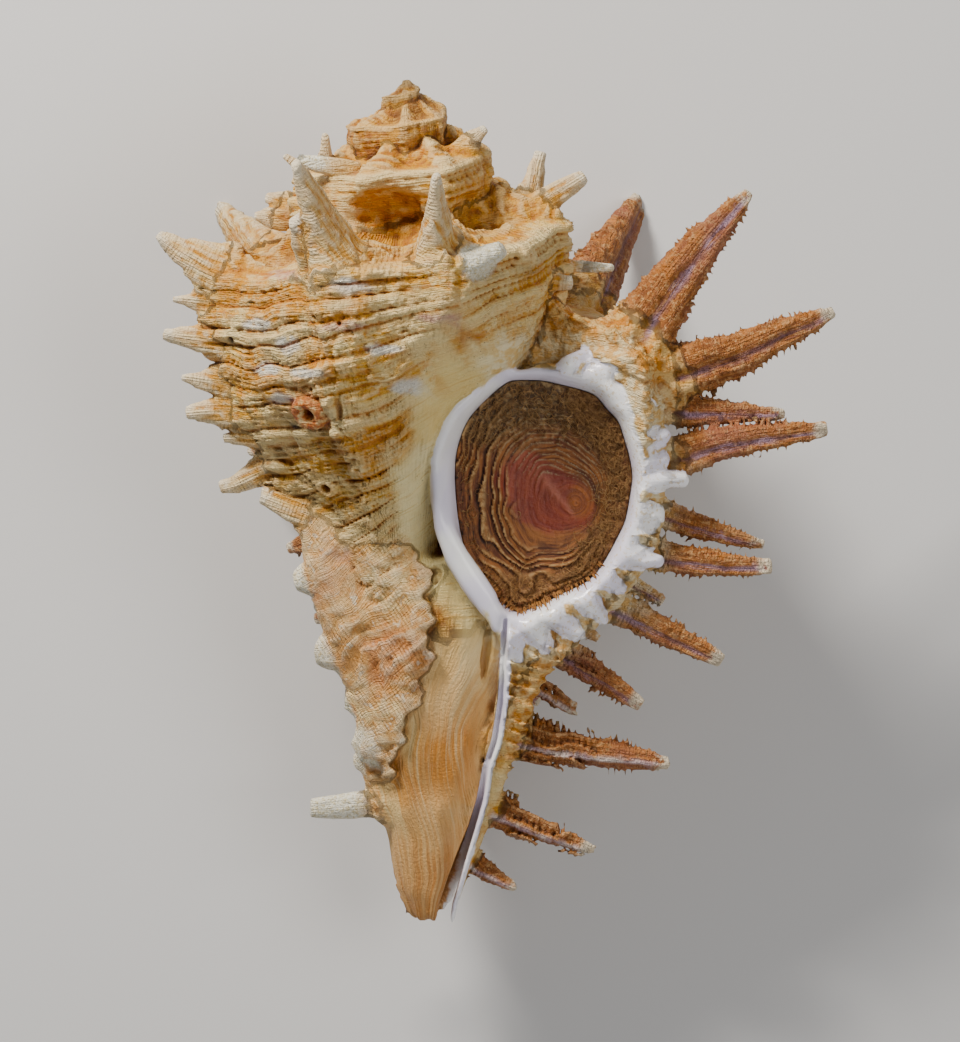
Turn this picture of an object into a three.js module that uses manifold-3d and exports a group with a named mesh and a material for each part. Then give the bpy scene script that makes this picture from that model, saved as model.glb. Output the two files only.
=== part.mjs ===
// Spiny murex shell, lying on its back with the aperture up and its operculum in place.
// Millimetres, +Z up, apex toward +Y, outer lip toward +X.
// Two physical pieces: the shell, grown as one piece, and the horny operculum that closes the aperture.
import * as THREE from 'three';
import { mergeVertices } from 'three/addons/utils/BufferGeometryUtils.js';
import Module from 'manifold-3d';

const wasm = await Module();
wasm.setup();

// ---------------------------------------------------------------- driving dimensions
const U = 0.09;                 // mm per drawing unit; every table below is in drawing units
const AXIS_TILT = 10;           // degrees, the apex end of the coiling axis is raised
const REST_Z = -238;            // height of the surface under the three resting spine tips
const LIP_PLANE = 90;           // the aperture rim stands this far in front of the axis
const OPERCULUM_TOP = 66;       // outer face of the operculum, in front of the axis
const OPERCULUM_THICK = 13;
const OPERCULUM_GAP = 3.6;      // gap between operculum and aperture wall
const SLIT_DEPTH = 34;          // depth of the canal slit

// growth of the coil: turns (0 = right-hand side at the outer lip), shoulder radius, shoulder height
const GROWTH = [
  [-4.45, 4, 221], [-4.0, 12, 216], [-3.5, 25, 206], [-3.0, 38, 193], [-2.5, 56, 176], [-2.0, 77, 157],
  [-1.75, 90, 143], [-1.5, 106, 128], [-1.25, 125, 109], [-1.0, 146, 88], [-0.75, 167, 62], [-0.5, 187, 32],
  [-0.25, 205, 0], [0.0, 228, -32], [0.25, 250, -62],
];
// whorl section: radius and height from the shoulder, both in shoulder radii
const SECTION = [
  [0.05, 0.58], [0.14, 0.53], [0.32, 0.41], [0.45, 0.32], [0.60, 0.21], [0.80, 0.09], [0.95, 0.02], [1.015, -0.12],
  [1.02, -0.32], [0.975, -0.60], [0.89, -0.80], [0.77, -0.99], [0.64, -1.18], [0.53, -1.37], [0.44, -1.60],
  [0.36, -1.86], [0.28, -2.14], [0.20, -2.34], [0.05, -2.42],
];
// varices of the last whorl, in degrees of growth, 0 = right-hand side at the outer lip
const VARICES = [20, -42, -88, -135, -192, -244, -284, -352];
const OLD_VARICES = [-402, -450, -500, -550, -604, -654, -708, -764, -820];
const VARIX_RISE = 0.085;       // thickening at a varix, in shoulder radii

// canal: height on the axis, centre x, centre front, half width, half depth
const CANAL = [
  [-250, 42, 0, 88, 70], [-330, 36, 0, 100, 74], [-400, 30, 0, 84, 66], [-450, 26, 0, 72, 58],
  [-500, 26, 0, 58, 48], [-550, 26, 0, 44, 38], [-600, 22, 0, 31, 28], [-630, 22, 0, 21, 18],
];

// outline of the operculum in the plane of the aperture (x right, y toward the apex)
const OPERCULUM = [
  [108, -84], [133, -84], [153, -88], [173, -93], [187, -99], [197, -111], [208, -123], [214, -140], [219, -157],
  [222, -176], [220, -194], [215, -220], [207, -237], [197, -256], [186, -272], [173, -282], [153, -291], [137, -300],
  [122, -306], [110, -309], [98, -301], [87, -290], [77, -276], [67, -261], [59, -242], [54, -216], [51, -181],
  [52, -156], [59, -131], [70, -113], [84, -99], [98, -88],
];
// outline of the rim round the aperture and down the lip side of the canal
const RIM = [
  [104, -70], [135, -62], [165, -60], [195, -52], [232, -50], [256, -84], [264, -128], [262, -180], [259, -232],
  [246, -266], [222, -300], [192, -332], [160, -360], [136, -388], [122, -426], [108, -464], [93, -505], [78, -545],
  [64, -572], [50, -598], [38, -616], [34, -606], [54, -548], [66, -505], [76, -455], [86, -402], [90, -356], [84, -330],
  [64, -302], [48, -278], [34, -252], [25, -220], [23, -188], [25, -160], [32, -136], [44, -112], [64, -94], [82, -82],
];
// centre line of the canal slit, x and y with its half width
const SLIT = [
  [96, -318, 4.5], [96, -345, 4.5], [94, -370, 5], [90, -402, 5], [85, -440, 5], [77.3, -472, 5.3], [73, -500, 5],
  [66, -528, 5.5], [55, -554, 6.5], [47, -580, 7.5], [39, -606, 8], [32, -650, 9],
];

// spines: base x, y, front; tip x, y, front; half width at base and tip; bow (sideways bend) and
// the way the open trough faces: 1 = toward the aperture side, -1 = away from it
const SPINES = [
  // outer lip varix
  [228, -42, 52, 343, 104, 30, 32, 5, -10, 1], [262, -74, 52, 425, -14, 42, 27, 5, 8, 1],
  [262, -108, 50, 376, -114, 50, 17, 4, 5, 1], [262, -158, 58, 417, -131, 66, 21, 6, -8, 1],
  [240, -205, 52, 356, -244, 52, 18, 4, 6, 1], [236, -252, 58, 362, -267, 66, 17, 6, 5, 1],
  [208, -272, 50, 255, -301, 52, 12, 5, 0, 1], [196, -300, 54, 312, -362, 62, 19, 6, 5, 1],
  [164, -318, 50, 191, -338, 52, 10, 4, 0, 1], [146, -342, 46, 233, -404, 52, 18, 6, 5, 1],
  [118, -376, 36, 167, -411, 40, 14, 4, 0, 1], [106, -436, 36, 260, -463, 46, 23, 6, 7, 1],
  [84, -508, 26, 185, -551, 34, 19, 5, 5, 1], [64, -562, 16, 107, -589, 20, 14, 5, 4, 1],
  // varix on the far right: the shoulder spine is one of the three resting points
  [180, 2, -142, 235, 107, -258, 34, 11, -8, 1],
  // varix on the far left: its shoulder spine is the second resting point
  [-140, 40, -142, -186, 97, -256, 30, 11, 6, -1],
  // third resting point, on the canal
  [34, -418, -30, 40, -434, -168, 22, 10, 0, 1],
  // left-hand varix
  [-190, 36, 40, -243, 60, 40, 24, 6, 0, -1], [-186, 0, 42, -229, 0, 44, 15, 5, 0, -1],
  [-186, -38, 42, -238, -33, 46, 16, 5, 0, -1], [-184, -80, 40, -220, -80, 44, 14, 5, 0, -1],
  [-178, -112, 38, -214, -111, 42, 14, 6, 0, -1], [-150, -138, 36, -178, -140, 40, 12, 5, 0, -1],
  [-138, -165, 20, -183, -184, 22, 15, 6, 0, -1], [-104, -212, 30, -141, -196, 34, 16, 6, 0, -1],
  [-74, -282, 26, -113, -278, 30, 18, 8, 0, -1], [-54, -360, 20, -89, -351, 24, 17, 7, 0, -1],
  [-32, -412, 16, -65, -399, 18, 16, 8, 0, -1], [-20, -446, 16, -47, -441, 20, 20, 13, 0, -1],
  [-34, -508, 10, -94, -509, 12, 14, 11, 0, -1],
  // worn shoulder spines facing up
  [-74, 14, 132, -100, 126, 186, 36, 6, -4, -1], [29, 28, 136, 29, 116, 182, 24, 6, 0, -1],
  [40, 30, 140, 90, 44, 150, 20, 13, 0, -1], [-72, 26, 130, -108, 74, 166, 18, 6, 0, -1],
  // right-hand side of the whorl before
  [122, 100, -44, 134, 147, -66, 16, 6, 0, 1], [136, 98, 8, 176, 122, 10, 15, 6, 0, 1],
  [160, 34, 6, 206, 32, 8, 10, 4, 0, 1], [130, 18, 40, 163, 16, 46, 10, 6, 0, 1],
  // spire
  [-80, 138, 30, -81, 164, 36, 9, 4, 0, -1], [-102, 130, 8, -122, 143, 8, 10, 4, 0, -1],
  [-120, 98, -46, -140, 103, -60, 12, 5, 0, -1], [-130, 82, -40, -151, 85, -52, 12, 5, 0, -1],
  [-70, 130, 62, -107, 137, 66, 11, 6, 0, -1], [66, 158, 30, 78, 169, 32, 11, 5, 0, 1],
];
// rows of spines on the three varices of the back: varix angle, then height in shoulder radii and length
const BACK_ROWS = [
  [-42, 20, [[-0.20, 92], [-0.52, 78], [-0.90, 74], [-1.32, 62], [-1.74, 84], [-2.08, 52]]],
  [-88, 18, [[0.0, 40], [-0.26, 38], [-0.60, 44], [-0.98, 58], [-1.36, 60], [-2.14, 56]]],
  [-135, 18, [[-0.24, 62], [-0.58, 60], [-0.95, 58], [-1.34, 54], [-1.70, 44]]],
];

// ---------------------------------------------------------------- frame
const tilt = THREE.MathUtils.degToRad(AXIS_TILT);
const CT = Math.cos(tilt), ST = Math.sin(tilt);
// x across, h along the coiling axis, f toward the aperture side
const fromAxis = (x, h, f) => new THREE.Vector3(x, h * CT - f * ST, h * ST + f * CT);
// x and y as laid out in the plan view, f toward the aperture side
const fromPlan = (x, y, f) => fromAxis(x, (y + ST * f) / CT, f);

const table = (rows, t, col) => {
  if (t <= rows[0][0]) return rows[0][col];
  for (let i = 1; i < rows.length; i++) {
    if (t <= rows[i][0]) {
      const k = (t - rows[i - 1][0]) / (rows[i][0] - rows[i - 1][0]);
      return rows[i - 1][col] * (1 - k) + rows[i][col] * k;
    }
  }
  return rows[rows.length - 1][col];
};
const radiusAt = (n) => table(GROWTH, n, 1);
const shoulderAt = (n) => table(GROWTH, n, 2);

// ---------------------------------------------------------------- solids
const solid = (geometry) => {
  const g = geometry.clone();
  g.deleteAttribute('normal');
  g.deleteAttribute('uv');
  const m = mergeVertices(g, 1e-4);
  const vertProperties = new Float32Array(m.attributes.position.array);
  const triVerts = new Uint32Array(m.index.array);
  const at = (i) => new THREE.Vector3().fromArray(vertProperties, triVerts[i] * 3);
  let volume = 0;
  for (let i = 0; i < triVerts.length; i += 3) volume += at(i).dot(at(i + 1).cross(at(i + 2)));
  if (volume < 0) for (let i = 0; i < triVerts.length; i += 3) [triVerts[i], triVerts[i + 1]] = [triVerts[i + 1], triVerts[i]];
  const body = new wasm.Manifold(new wasm.Mesh({ numProp: 3, vertProperties, triVerts }));
  return body;
};
const bend = (geometry, fn) => {
  const p = geometry.attributes.position;
  for (let i = 0; i < p.count; i++) {
    const v = fn(p.getX(i), p.getY(i), p.getZ(i));
    p.setXYZ(i, v.x * U, v.y * U, v.z * U);
  }
  return geometry;
};
const shapeOf = (pts) => new THREE.Shape(pts.map(([x, y]) => new THREE.Vector2(x, y)));
// a solid of one outline whose layers are given by a function of (x, y, step)
const loft = (pts, steps, fn) =>
  solid(bend(new THREE.ExtrudeGeometry(shapeOf(pts), { depth: steps, steps, bevelEnabled: false }),
    (x, y, z) => fn(x, y, Math.round(z))));

// one run of the coil, from the axis out to the whorl wall
const varixLift = (deg) => {
  let lift = 0;
  for (const v of [...VARICES, ...OLD_VARICES]) {
    const d = deg - v;
    const w = d > 0 ? 4 : 11;
    if (Math.abs(d) < 40) lift = Math.max(lift, Math.exp(-(d * d) / (w * w)));
  }
  return lift * VARIX_RISE;
};
const run = (degs) => loft([...SECTION].reverse(), degs.length - 1, (x, y, i) => {
  const n = degs[i] / 360, R = radiusAt(n), a = THREE.MathUtils.degToRad(degs[i]);
  const lift = x > 0.06 && y < 0.04 ? 1 + varixLift(degs[i]) : 1;
  const r = x * R * lift;
  return fromAxis(r * Math.cos(a), shoulderAt(n) + y * R, r * Math.sin(a));
});

// stations of growth: close together at each varix, wider between
const stations = [];
{
  const all = new Set();
  for (const v of VARICES) for (const d of [-16, -7, 0, 6]) all.add(v + d);
  for (const v of OLD_VARICES) for (const d of [-8, 0]) all.add(v + d);
  for (let d = -1600; d < -830; d += 36) all.add(d);
  for (const g of [-65, -112, -165, -218, -318]) all.add(g);
  const sorted = [...all].filter((d) => d <= 22).sort((a, b) => a - b);
  for (const d of sorted) if (!stations.length || d - stations[stations.length - 1] > 3.5) stations.push(d);
}

const pieces = [];
for (let i = 0; i < stations.length - 1;) {
  let j = i + 1;
  while (j < stations.length - 1 && stations[j + 1] - stations[i] < 100) j++;
  pieces.push(run(stations.slice(i, j + 1)));
  if (j >= stations.length - 1) break;
  i = j;
}

// columella, solid on the axis
const columella = new THREE.LatheGeometry([
  [0, -560], [16, -560], [18, -300], [15, 0], [8, 120], [4, 175], [1.5, 208], [0, 208],
].map(([x, y]) => new THREE.Vector2(x, y)), 8);
pieces.push(solid(bend(columella, (x, y, z) => fromAxis(x, y, z))));

// canal
const ring = (n) => Array.from({ length: n }, (_, i) => {
  const a = (i / n) * Math.PI * 2;
  return [Math.cos(a), Math.sin(a)];
});
pieces.push(loft(ring(14), CANAL.length - 1, (x, y, i) => {
  const [h, cx, cf, a, b] = CANAL[CANAL.length - 1 - i];
  return fromAxis(cx + a * x, h, cf - b * y);
}));

// rim of the aperture and lip side of the canal; it thins and drops back toward the canal tip
const rimFront = (y) => y > -320 ? LIP_PLANE : LIP_PLANE + (y + 320) * 0.235;
pieces.push(loft(RIM, 1, (x, y, i) => {
  const front = rimFront(y);
  return fromPlan(x, y, i ? front : Math.min(-4, front - 40));
}));

// spines: a tapered trough, open along one side
const TROUGH = [[-1, 0.42], [-0.92, -0.22], [-0.45, -0.62], [0.45, -0.62], [0.92, -0.22], [1, 0.42], [0.5, 0.34], [0, -0.08], [-0.5, 0.34]];
const PLAIN = [[-1, 0.3], [-0.6, -0.55], [0.6, -0.55], [1, 0.3], [0, 0.55]];
const spine = (base, tip, wb, wt, bow, facing) => {
  const len = base.distanceTo(tip);
  const t = tip.clone().sub(base).normalize();
  let w = facing.clone().addScaledVector(t, -facing.dot(t)).normalize();
  let u = new THREE.Vector3().crossVectors(t, w);
  const big = len > 62;
  const steps = big ? 3 : 1;
  const curve = new THREE.QuadraticBezierCurve3(base,
    base.clone().lerp(tip, 0.5).addScaledVector(u, bow), tip);
  return loft(big ? TROUGH : PLAIN, steps, (x, y, i) => {
    const s = i / steps;
    const half = wb * Math.pow(1 - s, 0.8) + wt * (1 - Math.pow(1 - s, 0.8));
    return curve.getPoint(s).addScaledVector(u, x * half).addScaledVector(w, y * half * (big ? 0.72 : 0.8));
  });
};
for (const [bx, by, bf, tx, ty, tf, wb, wt, bow, side] of SPINES) {
  const base = fromPlan(bx, by, bf), tip = fromPlan(tx, ty, tf);
  // the trough faces the way the whorl grows at the spine's foot
  const grow = fromAxis(-bf, 0, Math.max(bx * side, Math.abs(bf) * 0.2 + 20) * side).normalize();
  pieces.push(spine(base, tip, wb, wt, bow, grow));
}
for (const [deg, wb, list] of BACK_ROWS) {
  const n = deg / 360, R = radiusAt(n), a = THREE.MathUtils.degToRad(deg);
  for (const [eta, length] of list) {
    let rho = 0;
    for (let i = 2; i < SECTION.length; i++) {
      const [r1, e1] = SECTION[i], [r0, e0] = SECTION[i - 1];
      if (eta <= e0 + 0.02 && eta >= e1) { rho = Math.max(rho, r0 + (r1 - r0) * ((e0 - eta) / (e0 - e1))); }
    }
    const h = shoulderAt(n) + eta * R;
    const dip = (eta < -1 ? -0.34 : -0.10) + (eta > -0.1 ? 0.35 : 0);
    const rb = rho * R - 14, rt = rho * R * (1 + VARIX_RISE) + length;
    const base = fromAxis(rb * Math.cos(a), h, rb * Math.sin(a));
    let tip = fromAxis(rt * Math.cos(a), h + dip * (rt - rb), rt * Math.sin(a));
    if (tip.z < REST_Z + 6) tip = base.clone().lerp(tip, (REST_Z + 6 - base.z) / (tip.z - base.z));
    const grow = fromAxis(-Math.sin(a), 0, Math.cos(a));
    pieces.push(spine(base, tip, wb * (length > 70 ? 1 : 0.85), 5, 0, grow));
  }
}

let shell = pieces[0];
for (let i = 1; i < pieces.length; i++) shell = shell.add(pieces[i]);

// aperture, the hollow of the body whorl behind it, and the canal slit
const grown = (pts, d) => {
  const c = [137, -196];
  return pts.map(([x, y]) => { const l = Math.hypot(x - c[0], y - c[1]); return [c[0] + (x - c[0]) * (l + d) / l, c[1] + (y - c[1]) * (l + d) / l]; });
};
const mouth = loft([...grown(OPERCULUM, OPERCULUM_GAP)].reverse(), 1, (x, y, i) => fromPlan(x, y, i ? 34 : LIP_PLANE + 60));
shell = shell.subtract(mouth);
const cavityDegs = [14, -6, -26, -46, -68, -90, -112, -134, -156, -178, -200];
const cavityRun = (degs) => loft([...ring(12)].reverse(), degs.length - 1, (x, y, i) => {
  const n = degs[i] / 360, R = radiusAt(n), a = THREE.MathUtils.degToRad(degs[i]);
  const taper = THREE.MathUtils.clamp((degs[i] + 215) / 60, 0.25, 1);
  const r = (0.565 + 0.265 * taper * x) * R;
  return fromAxis(r * Math.cos(a), shoulderAt(n) + (-0.60 + 0.42 * taper * y) * R, r * Math.sin(a));
});
shell = shell.subtract(cavityRun(cavityDegs.slice(0, 6).reverse())).subtract(cavityRun(cavityDegs.slice(5).reverse()));
const left = SLIT.map(([x, y, w]) => [x - w, y]), right = SLIT.map(([x, y, w]) => [x + w, y]).reverse();
const slit = loft([...left, ...right], 1, (x, y, i) => {
  const front = rimFront(y);
  return fromPlan(x, y, i ? front + 60 : front - SLIT_DEPTH);
});
shell = shell.subtract(slit);

// the resting tips are worn flat on one plane
const floorBlock = new THREE.BoxGeometry(1200, 1400, 200);
floorBlock.translate(0, -200, REST_Z - 100);
shell = shell.subtract(solid(bend(floorBlock, (x, y, z) => new THREE.Vector3(x, y, z))));

// operculum: a thin plate set back in the aperture
const plate = loft([...OPERCULUM].reverse(), 1, (x, y, i) => fromPlan(x, y, i ? OPERCULUM_TOP - OPERCULUM_THICK : OPERCULUM_TOP));

// ---------------------------------------------------------------- meshes
const toGeometry = (body) => {
  const m = body.getMesh();
  const g = new THREE.BufferGeometry();
  const pos = new Float32Array(m.numVert * 3);
  for (let i = 0; i < m.numVert; i++) for (let k = 0; k < 3; k++) pos[i * 3 + k] = m.vertProperties[i * m.numProp + k];
  g.setAttribute('position', new THREE.BufferAttribute(pos, 3));
  g.setIndex(new THREE.BufferAttribute(new Uint32Array(m.triVerts), 1));
  g.computeVertexNormals();
  return g;
};
// only the largest connected body is the shell
const parts = shell.simplify(0.02).decompose().sort((a, b) => b.volume() - a.volume());
const shellMesh = new THREE.Mesh(toGeometry(parts[0]), new THREE.MeshStandardMaterial({ color: 0xdcc39a, roughness: 0.72, metalness: 0 }));
shellMesh.name = 'shell';
const operculumMesh = new THREE.Mesh(toGeometry(plate), new THREE.MeshStandardMaterial({ color: 0x4f2c1c, roughness: 0.5, metalness: 0 }));
operculumMesh.name = 'operculum';

const group = new THREE.Group();
group.add(shellMesh, operculumMesh);
const box = new THREE.Box3().setFromObject(group);
const centre = box.getCenter(new THREE.Vector3());
group.position.set(-centre.x, -centre.y, -box.min.z);
group.updateMatrixWorld(true);

export default group;
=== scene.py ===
import math
import bpy, bmesh
import numpy as np
from mathutils import Vector, Matrix


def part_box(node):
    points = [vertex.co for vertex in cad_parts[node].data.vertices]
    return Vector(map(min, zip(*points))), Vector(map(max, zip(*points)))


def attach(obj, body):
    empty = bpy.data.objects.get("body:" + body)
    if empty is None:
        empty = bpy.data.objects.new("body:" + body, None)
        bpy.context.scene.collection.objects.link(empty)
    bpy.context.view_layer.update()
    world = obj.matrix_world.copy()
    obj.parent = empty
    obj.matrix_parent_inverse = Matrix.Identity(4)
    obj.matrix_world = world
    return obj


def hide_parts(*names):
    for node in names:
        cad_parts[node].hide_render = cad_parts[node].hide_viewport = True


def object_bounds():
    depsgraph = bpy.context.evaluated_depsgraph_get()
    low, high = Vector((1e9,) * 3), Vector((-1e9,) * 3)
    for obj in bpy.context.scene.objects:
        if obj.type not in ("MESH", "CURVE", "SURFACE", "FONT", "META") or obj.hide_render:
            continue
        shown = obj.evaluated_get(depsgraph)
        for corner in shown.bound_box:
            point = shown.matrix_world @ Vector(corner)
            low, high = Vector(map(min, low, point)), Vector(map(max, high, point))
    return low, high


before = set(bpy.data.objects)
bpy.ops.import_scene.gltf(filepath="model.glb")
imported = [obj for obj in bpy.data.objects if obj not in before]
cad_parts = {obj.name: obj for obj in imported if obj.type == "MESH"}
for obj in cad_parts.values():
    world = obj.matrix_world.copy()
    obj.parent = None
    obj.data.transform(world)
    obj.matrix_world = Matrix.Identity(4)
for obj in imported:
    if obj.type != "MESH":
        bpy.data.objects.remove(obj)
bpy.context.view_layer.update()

# ------------------------------------------------------------------ shared dimensions (drawing units of 0.09 mm)
U = 0.00009                      # metres per drawing unit
AXIS_TILT = math.radians(10.0)
CT, ST = math.cos(AXIS_TILT), math.sin(AXIS_TILT)
TT = math.tan(AXIS_TILT)
REST_Z = -238.0
LIP_PLANE, OPERCULUM_TOP, OPERCULUM_THICK = 90.0, 66.0, 13.0
GROWTH = np.array([
    [-4.45, 4, 221], [-4.0, 12, 216], [-3.5, 25, 206], [-3.0, 38, 193], [-2.5, 56, 176], [-2.0, 77, 157],
    [-1.75, 90, 143], [-1.5, 106, 128], [-1.25, 125, 109], [-1.0, 146, 88], [-0.75, 167, 62], [-0.5, 187, 32],
    [-0.25, 205, 0], [0.0, 228, -32], [0.25, 250, -62]], float)
SECTION = np.array([
    [0.0, 0.60], [0.14, 0.53], [0.32, 0.41], [0.45, 0.32], [0.60, 0.21], [0.80, 0.09], [0.95, 0.02], [1.015, -0.12],
    [1.02, -0.32], [0.975, -0.60], [0.89, -0.80], [0.77, -0.99], [0.64, -1.18], [0.53, -1.37], [0.44, -1.60],
    [0.36, -1.86], [0.28, -2.14], [0.20, -2.34], [0.05, -2.42]], float)
VARICES = [20, -42, -88, -135, -192, -244, -284, -352]
OLD_VARICES = [-402, -450, -500, -550, -604, -654, -708, -764, -820, -874, -930, -985, -1040, -1096, -1150, -1210]
CANAL = np.array([
    [-250, 42, 0, 88, 70], [-330, 36, 0, 100, 74], [-400, 30, 0, 84, 66], [-450, 26, 0, 72, 58],
    [-500, 26, 0, 58, 48], [-550, 26, 0, 44, 38], [-600, 22, 0, 31, 28], [-632, 22, 0, 21, 18]], float)
OPERCULUM = np.array([
    [108, -84], [133, -84], [153, -88], [173, -93], [187, -99], [197, -111], [208, -123], [214, -140], [219, -157],
    [222, -176], [220, -194], [215, -220], [207, -237], [197, -256], [186, -272], [173, -282], [153, -291], [137, -300],
    [122, -306], [110, -309], [98, -301], [87, -290], [77, -276], [67, -261], [59, -242], [54, -216], [51, -181],
    [52, -156], [59, -131], [70, -113], [84, -99], [98, -88]], float)
RIM = np.array([
    [104, -70], [135, -62], [165, -60], [195, -52], [232, -50], [256, -84], [264, -128], [262, -180], [259, -232],
    [246, -266], [222, -300], [192, -332], [160, -360], [136, -388], [122, -426], [108, -464], [93, -505], [78, -545],
    [64, -572], [50, -598], [36, -620], [33, -608], [54, -548], [66, -505], [76, -455], [86, -402], [90, -356], [84, -330],
    [64, -302], [48, -278], [34, -252], [25, -220], [23, -188], [25, -160], [32, -136], [44, -112], [64, -94], [82, -82]], float)
SLIT = np.array([
    [97, -318, 2.6], [97, -345, 2.4], [96, -370, 2.4], [94, -402, 2.4], [88, -440, 2.6], [79, -468, 3.0], [73, -500, 3.4],
    [65, -528, 4.0], [55, -556, 5.5], [47, -580, 6.5], [39, -606, 7], [32, -650, 8]], float)

# spines: base x y f, tip x y f, half width at base and tip, bow, trough side, kind
# kind 0 brown grooved spine, 1 cream worn spine, 2 white broken stub, 3 dorsal
SP = [
    (228, -42, 52, 343, 104, 30, 38, 6, -10, 1, 0), (262, -74, 52, 425, -14, 42, 31, 6, 8, 1, 0),
    (262, -108, 50, 376, -114, 50, 19, 5, 5, 1, 0), (262, -158, 58, 417, -131, 66, 23, 8, -8, 1, 0),
    (240, -205, 52, 356, -244, 52, 19, 5, 6, 1, 0), (236, -252, 58, 362, -267, 66, 19, 8, 5, 1, 0),
    (208, -272, 50, 255, -301, 52, 11, 6, 0, 1, 0), (196, -300, 54, 312, -362, 62, 21, 8, 5, 1, 0),
    (164, -318, 50, 191, -338, 52, 11, 5, 0, 1, 0), (146, -342, 46, 233, -404, 52, 20, 8, 5, 1, 0),
    (118, -376, 36, 167, -411, 40, 15, 5, 0, 1, 0), (106, -436, 36, 260, -463, 46, 27, 7, 7, 1, 0),
    (84, -508, 26, 185, -551, 34, 21, 6, 5, 1, 0), (64, -562, 16, 107, -589, 20, 15, 5, 4, 1, 0),
    (180, 2, -142, 235, 107, -258, 38, 11, -8, 1, 0),
    (-136, 36, -138, -190, 97, -256, 38, 11, 8, -1, 1),
    (34, -418, -30, 40, -434, -168, 24, 10, 0, 1, 0),
    (-176, 26, 44, -246, 64, 40, 34, 6, 6, -1, 1), (-176, -4, 46, -232, 0, 44, 23, 4, 0, -1, 1),
    (-176, -40, 46, -241, -33, 46, 25, 6, 3, -1, 1), (-172, -84, 44, -224, -78, 44, 21, 4, 0, -1, 1),
    (-168, -112, 42, -218, -114, 42, 21, 8, -3, -1, 1), (-142, -136, 40, -182, -138, 40, 17, 5, 0, -1, 1),
    (-126, -160, 24, -186, -186, 22, 23, 7, 4, -1, 1), (-92, -216, 34, -144, -197, 34, 23, 7, 0, -1, 1),
    (-70, -284, 28, -104, -279, 30, 17, 11, 0, -1, 2), (-52, -362, 24, -82, -353, 24, 16, 11, 0, -1, 2),
    (-32, -414, 18, -58, -403, 18, 15, 9, 0, -1, 2), (-12, -448, 20, -36, -442, 24, 24, 19, 0, -1, 2),
    (-26, -503, 10, -94, -509, 12, 16, 11, 3, -1, 2),
    (-62, 8, 128, -108, 130, 186, 48, 7, -9, -1, 1), (30, 34, 134, 30, 118, 182, 34, 6, 0, -1, 1),
    (48, 24, 140, 92, 46, 152, 24, 12, 0, -1, 2), (-92, 20, 128, -110, 74, 162, 18, 8, 0, -1, 1),
    (122, 100, -44, 134, 147, -66, 18, 7, 0, 1, 1), (136, 98, 8, 176, 122, 10, 16, 7, 0, 1, 1),
    (160, 34, 6, 206, 32, 8, 8, 4, 0, 1, 2), (130, 18, 40, 163, 16, 46, 11, 7, 0, 1, 1),
    (-80, 138, 30, -81, 164, 36, 9, 4, 0, -1, 1), (-102, 130, 8, -122, 143, 8, 10, 4, 0, -1, 1),
    (-120, 98, -46, -140, 103, -60, 13, 6, 0, -1, 1), (-130, 82, -40, -151, 85, -52, 13, 6, 0, -1, 1),
    (-70, 130, 62, -107, 137, 66, 11, 6, 0, -1, 2), (66, 158, 30, 78, 169, 32, 11, 5, 0, 1, 1),
]
BACK_ROWS = [
    (-42, 20, [(-0.20, 92), (-0.52, 78), (-0.90, 74), (-1.32, 62), (-1.74, 84), (-2.08, 52)]),
    (-88, 18, [(0.0, 40), (-0.26, 38), (-0.60, 44), (-0.98, 58), (-1.36, 60), (-2.14, 56)]),
    (-135, 18, [(-0.24, 62), (-0.58, 60), (-0.95, 58), (-1.34, 54), (-1.70, 44)]),
]
VARIX_RISE = 0.085


def from_axis(x, h, f):
    return np.stack([np.asarray(x, float) + 0 * np.asarray(h, float), h * CT - f * ST, h * ST + f * CT], -1)


def from_plan(x, y, f):
    return from_axis(x, (y + ST * f) / CT, f)


# ------------------------------------------------------------------ noise
_rng = np.random.default_rng(7)
_LAT = _rng.random((64, 64, 64)).astype(np.float32) * 2 - 1
_LATF = np.ascontiguousarray(_LAT).reshape(-1)


def noise(P, scale, seed=0):
    """smooth value noise, about -1..1, features about `scale` units across"""
    q = (P / np.float32(scale) + np.float32(seed * 17.31 + 100)).astype(np.float32)
    i = np.floor(q).astype(np.int32)
    f = q - i
    f = f * f * (3 - 2 * f)
    i &= 63
    j = (i + 1) & 63
    x0, y0, z0 = i[..., 0] * 4096, i[..., 1] * 64, i[..., 2]
    x1, y1, z1 = j[..., 0] * 4096, j[..., 1] * 64, j[..., 2]
    fx, fy, fz = f[..., 0], f[..., 1], f[..., 2]
    c00 = _LATF[x0 + y0 + z0] * (1 - fx) + _LATF[x1 + y0 + z0] * fx
    c10 = _LATF[x0 + y1 + z0] * (1 - fx) + _LATF[x1 + y1 + z0] * fx
    c01 = _LATF[x0 + y0 + z1] * (1 - fx) + _LATF[x1 + y0 + z1] * fx
    c11 = _LATF[x0 + y1 + z1] * (1 - fx) + _LATF[x1 + y1 + z1] * fx
    return (c00 * (1 - fy) + c10 * fy) * (1 - fz) + (c01 * (1 - fy) + c11 * fy) * fz


def fbm(P, scale, octaves=3, seed=0):
    out, amp, tot = 0, 1.0, 0.0
    for o in range(octaves):
        out = out + amp * noise(P, scale / 2 ** o, seed + o)
        tot += amp
        amp *= 0.55
    return out / tot


def smooth(a, b, x):
    t = np.clip((x - a) / (b - a), 0, 1)
    return t * t * (3 - 2 * t)


def smin(a, b, k):
    h = np.clip(0.5 + 0.5 * (b - a) / k, 0, 1)
    return b * (1 - h) + a * h - k * h * (1 - h)


def smax(a, b, k):
    return -smin(-a, -b, k)


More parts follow.
